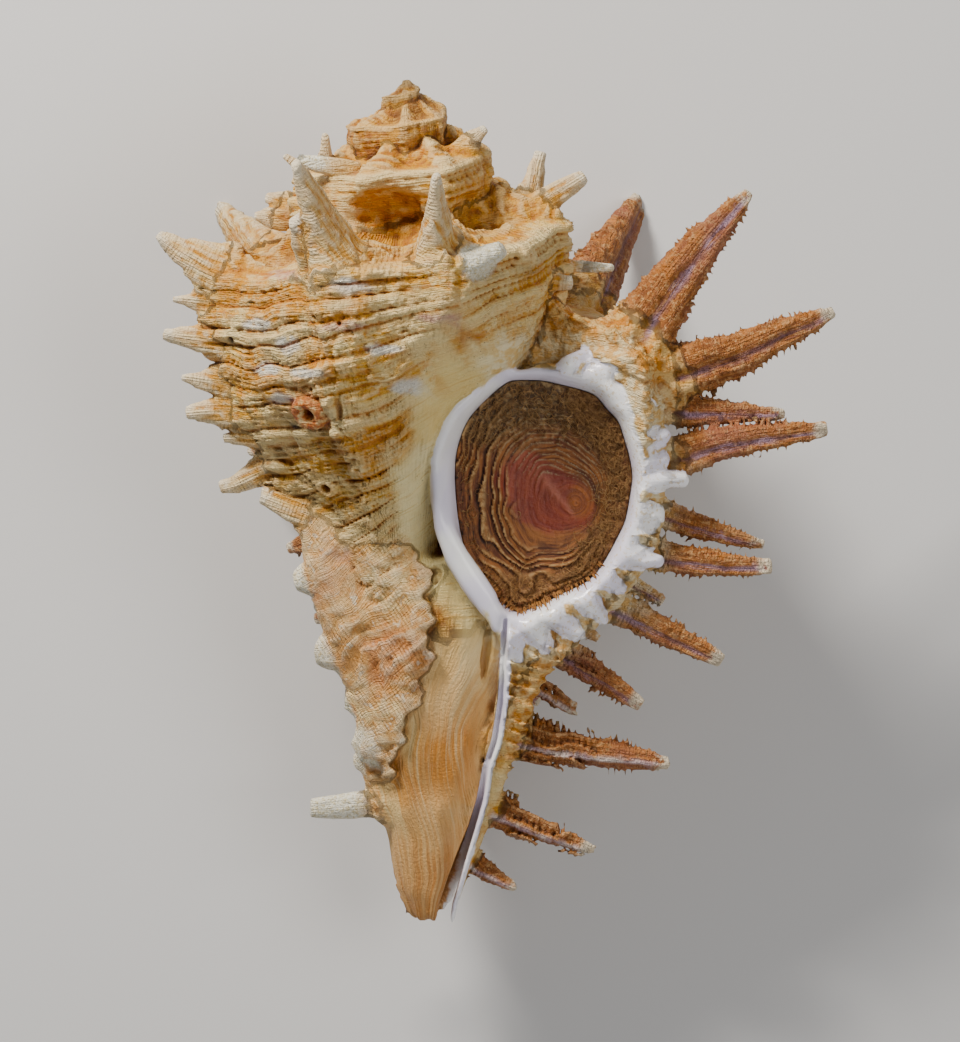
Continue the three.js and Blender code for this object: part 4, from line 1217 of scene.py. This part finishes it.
    # canal: smooth tan and cream with growth lines running down it
    cl = t.noise(t.vmul(flow, (0.009, 0.085, 0.02)), 1.0, 2, 0.6, 0.4)
    cl2 = t.noise(t.vmul(flow, (0.006, 0.36, 0.02)), 1.0, 2, 0.6)
    canc = t.mix(t.ramp(cl, 0.38, 0.62), srgb(230, 200, 150), srgb(214, 166, 114))
    canc = t.mix(part(t.ramp(patch, 0.42, 0.58), 0.7), canc, srgb(206, 144, 96))
    canc = t.mix(part(t.ramp(cl2, 0.53, 0.66), 0.35), canc, srgb(188, 122, 76))
    canc = t.mix(part(t.ramp(patch2, 0.52, 0.66), 0.45), canc, srgb(208, 152, 112))
    canc = t.mix(part(t.ramp(cl2, 0.46, 0.34), 0.4), canc, srgb(240, 222, 184))
    canc = t.mix(part(A("m_cantop"), 0.7), canc, t.mix(t.ramp(cl, 0.40, 0.62), srgb(240, 226, 184), srgb(226, 196, 140)))
    canc = t.mix(part(t.ramp(A("n_11"), 0.52, 0.66), 0.35), canc, srgb(238, 214, 168))
    canc = t.mix(part(A("m_cantip"), 0.7), canc, t.mix(t.ramp(cl2, 0.42, 0.60), srgb(212, 164, 122), srgb(180, 122, 84)))
    # painted shade in the canal's recesses
    canc = t.mix(part(t.ramp(cavs, 0.53, 0.62), 0.6), canc, srgb(132, 84, 44))
    col = t.mix(part(A("m_canal"), 0.95), col, canc)
    # brown varix and spines
    sn = t.noise(t.vmul(flow, (0.030, 0.24, 0.1)), 1.0, 3, 0.66, 0.5)
    brown = t.mix(t.ramp(sn, 0.36, 0.62), srgb(184, 130, 92), srgb(138, 90, 62))
    brown = t.mix(part(t.ramp(t.noise(unit, 0.19, 2, 0.7), 0.50, 0.66), 0.75), brown, srgb(210, 168, 128))
    brown = t.mix(part(t.ramp(patch2, 0.52, 0.68), 0.4), brown, srgb(178, 118, 76))
    brown = t.mix(part(t.ramp(patch, 0.50, 0.66), 0.5), brown, srgb(158, 108, 94))
    # painted shade in the spines' recesses, painted highlight on their raised parts
    brown = t.mix(part(t.ramp(cavs, 0.48, 0.60), 0.75), brown, srgb(86, 50, 32))
    brown = t.mix(part(t.ramp(cavs, 0.36, 0.22), 0.5), brown, srgb(214, 176, 138))
    spine = t.math("ADD", A("m_spine"), part(t.math("SUBTRACT", patch2, 0.5), 0.5))
    spine = t.ramp(spine, 0.22, 0.7)
    lip = t.mix(t.ramp(patch3, 0.40, 0.60), srgb(228, 192, 138), srgb(200, 140, 88))
    lip = t.mix(part(t.ramp(patch2, 0.52, 0.68), 0.7), lip, srgb(236, 216, 174))
    # painted shade in the lip's recesses
    lip = t.mix(part(t.ramp(cavs, 0.52, 0.64), 0.6), lip, srgb(132, 80, 46))
    col = t.mix(part(A("m_lipvarix"), 0.9), col, lip)
    col = t.mix(spine, col, brown)
    soft = t.mix(t.ramp(patch3, 0.40, 0.62), srgb(240, 228, 196), srgb(224, 190, 138))
    # painted shade in recesses of the cream zone by the lip
    soft = t.mix(part(t.ramp(cavs, 0.54, 0.66), 0.5), soft, srgb(160, 108, 64))
    col = t.mix(part(A("m_lipcream"), 0.8), col, soft)
    lil = t.math("MULTIPLY", A("m_lilac"), t.ramp(t.noise(t.vmul(flow, (0.025, 0.3, 0.1)), 1.0, 3, 0.6), 0.32, 0.50))
    col = t.mix(part(lil, 0.85), col, t.mix(t.ramp(A("n_45"), 0.4, 0.62), srgb(134, 98, 96), srgb(178, 152, 170)))
    rdg = t.math("MULTIPLY", A("m_ridge"), t.ramp(t.noise(t.vmul(flow, (0.025, 0.3, 0.1)), 1.0, 3, 0.6), 0.22, 0.42))
    col = t.mix(part(rdg, 0.9), col, t.mix(t.ramp(patch2, 0.4, 0.6), srgb(228, 214, 206), srgb(196, 170, 176)))
    # cream worn spines keep the body's colours, with pale ridges that are wear plus painted highlight, and painted
    # shade at the roots
    cr = A("m_cream")
    cc = t.mix(t.ramp(sn, 0.40, 0.62), srgb(228, 200, 150), srgb(196, 142, 84))
    cc = t.mix(part(t.ramp(patch2, 0.54, 0.68), 0.7), cc, srgb(184, 116, 62))
    cc = t.mix(part(t.ramp(cavs, 0.46, 0.34), 0.7), cc, srgb(240, 228, 200))
    cc = t.mix(part(t.ramp(cavs, 0.52, 0.62), 0.7), cc, srgb(120, 66, 32))
    col = t.mix(part(cr, 0.75), col, cc)
    tip = t.math("MULTIPLY", A("m_tip"), t.ramp(t.noise(unit, 0.09, 3, 0.6), 0.25, 0.55))
    col = t.mix(part(t.ramp(tip, 0.35, 0.9), 0.85), col, srgb(234, 222, 198))
    col = t.mix(A("m_stub"), col, t.mix(t.ramp(grain, 0.4, 0.7), srgb(238, 234, 218), srgb(208, 194, 156)))
    # worm tube
    wm = t.math("MULTIPLY", A("m_worm"), t.ramp(patch3, 0.3, 0.55))
    col = t.mix(part(wm, 0.85), col, t.mix(t.ramp(patch3, 0.42, 0.6), srgb(198, 108, 64), srgb(160, 74, 48)))
    hs = t.node("ShaderNodeHueSaturation")
    hs.inputs["Saturation"].default_value = 1.22
    hs.inputs["Value"].default_value = 0.89
    t.put(hs.inputs["Color"], col)
    col = hs.outputs[0]
    # porcelain
    white = A("m_white")
    por = t.mix(t.ramp(A("n_20"), 0.38, 0.60), srgb(250, 248, 246), srgb(232, 226, 240))
    # painted blue-lilac shade where the porcelain lies in broad recesses
    por = t.mix(part(t.ramp(cavl, 0.54, 0.70), 0.35), por, srgb(206, 198, 222))
    cream_dots = t.math("MULTIPLY", A("m_lobe"), t.ramp(t.noise(unit, 0.26, 3, 0.6), 0.54, 0.64))
    por = t.mix(part(cream_dots, 0.6), por, srgb(214, 186, 130))
    wmask = t.ramp(t.math("ADD", white, part(t.math("SUBTRACT", grain, 0.5), 0.25)), 0.35, 0.7)
    col = t.mix(wmask, col, por)
    # pits and specks
    dark = t.math("MULTIPLY", t.ramp(speck, 0.17, 0.06), t.ramp(A("n_35"), 0.50, 0.60))
    dark = t.math("MULTIPLY", dark, t.math("SUBTRACT", 1.0, t.math("ADD", white, A("m_canal")), clamp=True))
    col = t.mix(part(dark, 0.8), col, srgb(62, 34, 18))
    # fine relief: growth lines across the cords, threads along them, grain
    sep = t.node("ShaderNodeSeparateXYZ")
    t.put(sep.inputs[0], flow)
    ph = t.math("ADD", part(sep.outputs[0], 1.72), A("n_wave"))
    beads = t.math("SINE", ph)
    bmask = t.ramp(A("n_45"), 0.40, 0.60)
    beads = t.math("MULTIPLY", beads, t.math("MULTIPLY", bmask, t.math("SUBTRACT", 1.0, A("m_canal"), clamp=True)))
    lines = t.noise(t.vmul(flow, (0.40, 0.05, 0.10)), 1.0, 2, 0.5)
    lines = t.math("MULTIPLY", lines, t.math("SUBTRACT", 1.0, A("m_canal"), clamp=True))
    hgt = t.math("ADD", part(lines, 0.7), part(thread, 0.9))
    hgt = t.math("ADD", hgt, part(beads, 0.11))
    hgt = t.math("ADD", hgt, part(grain, 0.7))
    rough_spine = t.noise(t.vmul(flow, (0.34, 0.24, 0.1)), 1.0, 2, 0.7)
    hgt = t.math("ADD", hgt, t.math("MULTIPLY", part(rough_spine, 1.6), A("m_spine")))
    quiet = t.math("ADD", part(white, 0.93), t.math("ADD", part(A("m_callus"), 0.6), part(A("m_canal"), 0.35)))
    keep = t.math("SUBTRACT", 1.0, quiet, clamp=True)
    hgt = t.math("MULTIPLY", hgt, keep)
    b = t.node("ShaderNodeBump")
    b.inputs["Strength"].default_value = 1.0
    b.inputs["Distance"].default_value = 0.00030
    t.put(b.inputs["Height"], hgt)
    p = t.node("ShaderNodeBsdfPrincipled")
    t.put(p.inputs["Base Color"], col)
    t.put(p.inputs["Normal"], b.outputs[0])
    dull = t.fmix(A("m_callus"), t.fmix(grain, 0.46, 0.72), 0.36)
    rough = t.fmix(white, dull, 0.22)
    t.put(p.inputs["Roughness"], rough)
    p.inputs["IOR"].default_value = 1.5
    out = t.node("ShaderNodeOutputMaterial")
    t.L.new(p.outputs[0], out.inputs[0])
    return m


shell.data.materials.append(shell_material())
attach(shell, "root"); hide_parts("shell")


# ------------------------------------------------------------------ operculum
NUC = (169.0, -203.0)


def operculum_height(x, y):
    """relief of the horny plate over its outer face, and what lies where on it"""
    o = OPT(x, y)
    q = np.stack([x, y, x * 0], -1).astype(np.float32)
    ang = np.arctan2(y - NUC[1], x - NUC[0])
    rr = np.hypot(x - NUC[0], y - NUC[1])
    g = np.clip(rr / np.maximum(rr + np.maximum(-o, 0), 1e-3), 0, 1)      # 0 nucleus, 1 edge
    warp = noise(q, 40, 80) * 0.026 + noise(q, 15, 81) * 0.010
    # the side where the plate grew fastest carries the loose lamellae
    left = smooth(-0.15, 0.85, np.cos(ang - math.radians(205)))
    low = smooth(-0.1, 0.8, np.cos(ang - math.radians(250)))
    along = np.stack([g * 60, np.cos(ang) * 22, np.sin(ang) * 22], -1).astype(np.float32)
    some = smooth(-0.45, 0.15, noise(along, 9, 86))
    lam = (g + warp * 3.3 + 0.03 * np.sin(g * 19) + 0.03 * np.sin(ang * 3)) * 13.0
    saw = lam % 1.0
    where = np.clip(left + 0.5 * low, 0, 1) * smooth(0.46, 0.68, g)
    strips = (saw ** 1.8) * 5.2 * where * (0.25 + 0.75 * some)
    # crowded arcs above and right of the nucleus
    lam2 = (g + warp * 1.6) * 24.0
    saw2 = lam2 % 1.0
    upper = smooth(-0.2, 0.5, np.sin(ang + 0.25)) * smooth(0.22, 0.36, g) * smooth(0.98, 0.8, g)
    arcs = (saw2 ** 1.6) * 2.2 * upper * (0.3 + 0.7 * some)
    heart = smooth(1.25, 0.65, np.sqrt((((x - 138) * 0.80 - (y + 194) * 0.60) / 52) ** 2 + (((x - 138) * 0.60 + (y + 194) * 0.80) / 34) ** 2) + noise(q, 20, 87) * 0.25)
    fine = np.sin((g + warp * 0.5) * 170) * 0.12 * smooth(0.1, 0.3, g) * (0.3 + 0.7 * heart)
    dome = -8.0 * smooth(1.0, 0.30, g) + 3.5 * smooth(0.45, 0.0, g)
    crust = np.clip(smooth(0.66, 0.86, g) * (1 - 0.8 * left) + 0.8 * smooth(-160, -130, y + noise(q, 24, 88) * 14), 0, 1) * (1 - heart)
    rough = (fbm(q, 9, 3, 84) * 2.2 + (ridged(q, 8, 85) - 0.5) * 2.6) * crust
    # pale streak running out from the nucleus along a raised fold; its pale colour is own colour plus painted highlight
    dx, dy = x - 162, y + 211
    al, ac = dx * -0.63 + dy * 0.777, dx * 0.777 + dy * 0.63
    streak = np.exp(-(ac / (2.0 + 0.10 * np.clip(al, 0, 60))) ** 2) * smooth(-16, 4, al) * smooth(62, 34, al)
    h_ = dome + strips + arcs + fine + rough + streak * 1.2
    return h_, dict(g=g, left=where, saw=saw, arcs=upper * saw2, heart=heart, crust=crust, streak=streak, some=some,
                    nuc=smooth(1.3, 0.7, np.sqrt(((x - 173) / 13) ** 2 + ((y + 201) / 17) ** 2)),
                    top=smooth(-150, -118, y + noise(q, 30, 89) * 16),
                    right=smooth(-34, -14, o + noise(q, 14, 82) * 6) * smooth(150, 178, x), low=smooth(-262, -282, y + noise(q, 20, 83) * 8))


GROWN = 2.4                      # the horny plate fills the aperture to the wall


def build_operculum():
    step = 1.3
    xs, ys = np.arange(42, 234, step), np.arange(-318, -74, step)
    nx_, ny_ = len(xs), len(ys)
    X, Y = np.meshgrid(xs, ys, indexing="ij")
    o = OPT(X, Y) - GROWN
    inside = o < 0.6
    # pull the outermost points onto the outline
    gx = (OPT(X + 1.5, Y) - OPT(X - 1.5, Y)) / 3; gy = (OPT(X, Y + 1.5) - OPT(X, Y - 1.5)) / 3
    gl = np.maximum(np.hypot(gx, gy), 1e-3)
    rim_ = o > -step * 0.9
    Xs = np.where(rim_, X - gx / gl * o, X); Ys = np.where(rim_, Y - gy / gl * o, Y)
    hgt, info = operculum_height(Xs.ravel(), Ys.ravel())
    hgt = hgt.reshape(X.shape)
    top = from_plan(Xs, Ys, OPERCULUM_TOP - 2 + hgt)
    bot = from_plan(Xs, Ys, np.full(X.shape, OPERCULUM_TOP - OPERCULUM_THICK - 2))
    ids = -np.ones(X.shape, int)
    cell = inside[:-1, :-1] & inside[1:, :-1] & inside[1:, 1:] & inside[:-1, 1:]
    used = np.zeros(X.shape, bool)
    for a, b in ((0, 0), (1, 0), (1, 1), (0, 1)):
        used[a:nx_ - 1 + a, b:ny_ - 1 + b] |= cell
    ids[used] = np.arange(used.sum())
    n = used.sum()
    i, j = np.where(cell)
    q = np.stack([ids[i, j], ids[i + 1, j], ids[i + 1, j + 1], ids[i, j + 1]], -1)
    faces = [q, (q + n)[:, ::-1]]
    # side wall along open edges
    e = np.concatenate([q[:, [0, 1]], q[:, [1, 2]], q[:, [2, 3]], q[:, [3, 0]]])
    code = e[:, 0] * n + e[:, 1]; rev = e[:, 1] * n + e[:, 0]
    oe = e[~np.isin(code, rev)]
    faces.append(np.stack([oe[:, 1], oe[:, 0], oe[:, 0] + n, oe[:, 1] + n], -1))
    pts = np.vstack([top[used], bot[used]])
    ob = new_mesh("operculum_plate", to_world(pts), np.vstack(faces))
    m2 = used.ravel()
    for k, v in info.items():
        set_attr(ob, "o_" + k, np.concatenate([v.ravel()[m2]] * 2))
    set_attr(ob, "unit", pts)
    return ob


def build_fuzz():
    """fibres of the frayed outer coat: curly along the right and the top, straight teeth along the lower edge"""
    rg = np.random.default_rng(31)
    paths, radii, tones = [], [], []

    def surface(x, y):
        return OPERCULUM_TOP - 2 + operculum_height(x, y)[0]
    # curly and matted fibres
    want = 1500
    cand = np.stack([rg.uniform(50, 226, 40000), rg.uniform(-308, -84, 40000)], -1)
    o = OPT(cand[:, 0], cand[:, 1])
    _, inf = operculum_height(cand[:, 0], cand[:, 1])
    dens = 1.0 * inf["right"] + 0.40 * inf["top"] * (1 - inf["heart"]) + 0.35 * inf["low"] + 0.16 * smooth(-14, -5, o) + 0.04 * inf["crust"] + 0.02 * inf["left"]
    dens *= (o < -2.5)
    cand = cand[rg.random(len(cand)) < dens * 0.5][:want]
    K = 9
    n = len(cand)
    head = rg.uniform(0, 2 * np.pi, n)
    turn = rg.normal(0, 0.30, n) + np.where(rg.random(n) < 0.22, np.sign(rg.normal(size=n)) * 0.75, 0)
    seg = rg.uniform(0.9, 2.2, n)
    p = cand.copy(); P3 = np.empty((n, K, 3)); ht = np.zeros(n)
    peak = rg.uniform(0.8, 3.4, n)
    for k in range(K):
        z = surface(p[:, 0], p[:, 1]) + 0.35 + peak * math.sin(math.pi * min(k / (K - 1), 1.0)) ** 0.8
        P3[:, k] = np.stack([p[:, 0], p[:, 1], z], -1)
        head = head + turn + rg.normal(0, 0.25, n)
        q = p + np.stack([np.cos(head), np.sin(head)], -1) * seg[:, None]
        bad = OPT(q[:, 0], q[:, 1]) > 0.6
        head = np.where(bad, head + np.pi * 0.6, head)
        p = np.where(bad[:, None], p, q)
    paths.append(P3); radii.append(np.repeat(rg.uniform(0.22, 0.36, n)[:, None], K, 1) * np.linspace(1, 0.7, K)); tones.append(rg.uniform(0, 1, n))
    # teeth along the lower edge
    outline = catmull(OPERCULUM, 10)
    dn = np.roll(outline, -1, 0) - outline
    nrm = np.stack([dn[:, 1], -dn[:, 0]], -1)
    nrm /= np.linalg.norm(nrm, axis=1)[:, None]
    if OPT(outline[0, 0] + nrm[0, 0] * 3, outline[0, 1] + nrm[0, 1] * 3) < 0:
        nrm = -nrm
    sel = np.where((outline[:, 1] < -262) & (outline[:, 0] > 72) & (outline[:, 0] < 200))[0]
    want = 150
    pick = rg.choice(sel, want)
    t0 = outline[pick] + rg.normal(0, 0.8, (want, 2)) - nrm[pick] * rg.uniform(2, 9, want)[:, None]
    dirn = nrm[pick] + np.stack([rg.normal(0, 0.18, want), rg.normal(-0.15, 0.12, want)], -1)
    L = rg.uniform(5, 10, want) * np.where(rg.random(want) < 0.2, 1.25, 1)
    P3 = np.empty((want, K, 3))
    for k in range(K):
        u = k / (K - 1)
        q = t0 + dirn * (L * u)[:, None]
        oo = OPT(q[:, 0], q[:, 1])
        base = surface(q[:, 0], q[:, 1])
        P3[:, k] = np.stack([q[:, 0], q[:, 1], np.where(oo < -1, base + 0.6, OPERCULUM_TOP + 1.0 + np.clip(oo + 1, 0, 20) * 1.9)], -1)
    paths.append(P3); radii.append(rg.uniform(0.8, 1.4, want)[:, None] * np.linspace(1, 0.45, K)[None]); tones.append(rg.uniform(-1.0, -0.6, want))
    C = np.concatenate(paths); R = np.concatenate(radii); T = np.concatenate(tones)
    n = len(C)
    W = from_plan(C[..., 0], C[..., 1], C[..., 2])
    tan = np.gradient(W, axis=1)
    tan /= np.maximum(np.linalg.norm(tan, axis=2, keepdims=True), 1e-6)
    up = np.array([0.13, 0.21, 0.97])
    u = np.cross(tan, up); u /= np.maximum(np.linalg.norm(u, axis=2, keepdims=True), 1e-6)
    v = np.cross(u, tan)
    S = 4
    ring = [(math.cos(2 * math.pi * k / S), math.sin(2 * math.pi * k / S)) for k in range(S)]
    V = np.stack([W + (u * c + v * s_) * R[..., None] for c, s_ in ring], 2)          # n K S 3
    ids = np.arange(n * K * S).reshape(n, K, S)
    fs = []
    for k in range(S):
        k2 = (k + 1) % S
        fs.append(np.stack([ids[:, :-1, k], ids[:, :-1, k2], ids[:, 1:, k2], ids[:, 1:, k]], -1).reshape(-1, 4))
    fs.append(ids[:, 0, ::-1].reshape(-1, 4)); fs.append(ids[:, -1, :].reshape(-1, 4))
    ob = new_mesh("operculum_fuzz", to_world(V.reshape(-1, 3)), np.vstack(fs))
    set_attr(ob, "tone", np.repeat(T, K * S))
    set_attr(ob, "unit", V.reshape(-1, 3))
    return ob


def horn_shader(t, col, rough, bump_height=None, dist=0.0002):
    p = t.node("ShaderNodeBsdfPrincipled")
    t.put(p.inputs["Base Color"], col)
    t.put(p.inputs["Roughness"], rough)
    if bump_height is not None:
        b = t.node("ShaderNodeBump")
        b.inputs["Strength"].default_value = 0.9
        b.inputs["Distance"].default_value = dist
        t.put(b.inputs["Height"], bump_height)
        t.put(p.inputs["Normal"], b.outputs[0])
    out = t.node("ShaderNodeOutputMaterial")
    t.L.new(p.outputs[0], out.inputs[0])


def operculum_material():
    m, nt = mat_new("operculum_horn")
    t = NT(nt)
    A = t.attr
    unit, g = A("unit", True), A("o_g")

    def part(x, k):
        return t.math("MULTIPLY", x, k)
    n1 = t.noise(unit, 0.05, 4, 0.6, 0.4); n2 = t.noise(unit, 0.2, 4, 0.65); n3 = t.noise(unit, 0.022, 3, 0.5)
    sep = t.node("ShaderNodeSeparateXYZ"); t.put(sep.inputs[0], unit)
    ph = t.math("ADD", part(g, 30.0), part(n3, 2.5))
    cx = t.node("ShaderNodeCombineXYZ")
    t.put(cx.inputs[0], ph); t.put(cx.inputs[1], part(sep.outputs[0], 0.018)); t.put(cx.inputs[2], part(sep.outputs[1], 0.018))
    rings = t.noise(cx.outputs[0], 1.0, 3, 0.6, 0.2)
    # horn brown, streaked along the growth lines
    col = t.mix(t.ramp(rings, 0.38, 0.62), srgb(98, 48, 20), srgb(160, 98, 42))
    col = t.mix(part(t.ramp(n1, 0.50, 0.68), 0.55), col, srgb(64, 32, 15))
    # upper part: dark olive with grey crust
    olive = t.mix(t.ramp(n2, 0.40, 0.62), srgb(72, 54, 30), srgb(134, 110, 70))
    olive = t.mix(part(t.ramp(n1, 0.54, 0.70), 0.6), olive, srgb(96, 58, 30))
    col = t.mix(part(A("o_top"), 0.85), col, olive)
    # red-brown smooth heart
    red = t.mix(t.ramp(rings, 0.30, 0.70), srgb(132, 46, 26), srgb(158, 68, 40))
    red = t.mix(part(t.ramp(n1, 0.50, 0.66), 0.35), red, srgb(118, 52, 26))
    col = t.mix(part(t.ramp(t.math("ADD", A("o_heart"), t.math("ADD", part(t.math("SUBTRACT", n2, 0.5), 0.6), part(t.math("SUBTRACT", n1, 0.5), 0.9))), 0.15, 0.95), 0.9), col, red)
    col = t.mix(part(A("o_nuc"), 0.8), col, t.mix(t.ramp(rings, 0.4, 0.6), srgb(128, 68, 20), srgb(168, 96, 30)))
    # pale streak: own colour plus painted highlight
    col = t.mix(part(A("o_streak"), 0.5), col, srgb(196, 116, 88))
    # loose lamellae: pale frayed edge, near-black painted shadow in the space under it
    saw, left = A("o_saw"), A("o_left")
    edge = t.math("MULTIPLY", t.math("MULTIPLY", t.ramp(saw, 0.52, 0.86), left), t.ramp(t.math("ADD", A("o_some"), part(n2, 0.6)), 0.35, 0.85))
    col = t.mix(part(edge, 0.85), col, t.mix(t.ramp(n2, 0.4, 0.62), srgb(206, 166, 108), srgb(160, 108, 52)))
    # painted shadow under each lamella
    gap_shadow = t.math("MULTIPLY", t.ramp(saw, 0.30, 0.08), left)
    col = t.mix(part(gap_shadow, 0.85), col, srgb(30, 13, 6))
    arc = t.ramp(A("o_arcs"), 0.5, 0.85)
    col = t.mix(part(t.math("MULTIPLY", arc, t.ramp(n2, 0.36, 0.56)), 0.7), col, srgb(164, 142, 104))
    # matted margin
    mat = t.mix(t.ramp(n2, 0.38, 0.62), srgb(108, 66, 30), srgb(172, 122, 64))
    col = t.mix(part(t.math("MAXIMUM", A("o_right"), part(A("o_low"), 1.0)), 0.85), col, mat)
    crusty = t.math("MULTIPLY", A("o_crust"), t.ramp(n2, 0.52, 0.66))
    col = t.mix(part(crusty, 0.55), col, srgb(170, 138, 88))
    hb = t.math("ADD", part(rings, 0.8), n2)
    horn_shader(t, col, t.fmix(A("o_heart"), 0.62, 0.36), hb, 0.00022)
    return m


def fuzz_material():
    m, nt = mat_new("operculum_fibre")
    t = NT(nt)
    tone = t.attr("tone")
    n = t.noise(t.attr("unit", True), 0.12, 2, 0.5)
    col = t.mix(tone, srgb(120, 80, 38), srgb(180, 136, 80))
    col = t.mix(t.math("MULTIPLY", t.ramp(n, 0.5, 0.7), 0.5), col, srgb(92, 64, 34))
    col = t.mix(t.ramp(tone, 0.0, -0.5), col, t.mix(t.ramp(n, 0.42, 0.6), srgb(164, 112, 54), srgb(118, 72, 32)))
    horn_shader(t, col, 0.6)
    return m


plate = build_operculum()
plate.data.materials.append(operculum_material())
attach(plate, "root"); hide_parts("operculum")
fuzz = build_fuzz()
fuzz.data.materials.append(fuzz_material())
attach(fuzz, "root"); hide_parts("operculum")
print("operculum", len(plate.data.polygons) * 2, "fuzz", len(fuzz.data.polygons) * 2, round(_t.time() - _t0, 1), "s")

# ------------------------------------------------------------------ floor, light, camera
bl, bh = [np.array(list(c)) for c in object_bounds()]
ctr = (bl + bh) / 2
fme = bpy.data.meshes.new("floor")
S_ = 1.2
fme.from_pydata([(-S_, -S_, 0), (S_, -S_, 0), (S_, S_, 0), (-S_, S_, 0)], [], [(0, 1, 2, 3)])
floor = bpy.data.objects.new("floor", fme)
bpy.context.scene.collection.objects.link(floor)
fm, fnt = mat_new("floor_pale")
ft = NT(fnt)
fp = ft.node("ShaderNodeBsdfPrincipled")
fp.inputs["Base Color"].default_value = (0.62, 0.61, 0.60, 1)
fp.inputs["Roughness"].default_value = 0.9
fo = ft.node("ShaderNodeOutputMaterial")
ft.L.new(fp.outputs[0], fo.inputs[0])
fme.materials.append(fm)

world = bpy.data.worlds.new("studio")
bpy.context.scene.world = world
world.use_nodes = True
world.node_tree.nodes["Background"].inputs[0].default_value = (0.88, 0.92, 1.0, 1)
world.node_tree.nodes["Background"].inputs[1].default_value = 0.15


def area(name, loc, target, size, power, color=(1, 1, 1)):
    l = bpy.data.lights.new(name, "AREA")
    l.shape = "SQUARE"; l.size = size; l.energy = power; l.color = color
    ob = bpy.data.objects.new(name, l)
    ob.location = loc
    ob.rotation_euler = (Vector(target) - Vector(loc)).to_track_quat("-Z", "Y").to_euler()
    bpy.context.scene.collection.objects.link(ob)
    return ob


area("key", (-0.17, 0.25, 0.19), (0, 0, 0.02), 0.075, 2.25, (1, 0.96, 0.90))
area("fill", (0.20, 0.02, 0.34), (0, 0, 0.02), 0.20, 0.60, (1, 0.98, 0.95))
area("rim", (0.05, -0.32, 0.14), (0, 0, 0.02), 0.2, 0.22, (1, 1, 1))

cam_d = bpy.data.cameras.new("camera")
cam_d.sensor_width = 36
cam_d.sensor_fit = "AUTO"
cam = bpy.data.objects.new("camera", cam_d)
bpy.context.scene.collection.objects.link(cam)
# plan centre of the photograph's frame and its height in drawing units
vc = to_world(np.array([480 - 407.0, 300 - 521.0, 0.0]))
height = 1042 * U
dist = 1.1
cam.location = (vc[0], vc[1], dist + 0.022)
cam.rotation_euler = (0, 0, 0)
cam_d.lens = 36 * dist / height
cam_d.dof.use_dof = False
cam_d.clip_start = 0.01; cam_d.clip_end = 10
bpy.context.scene.camera = cam
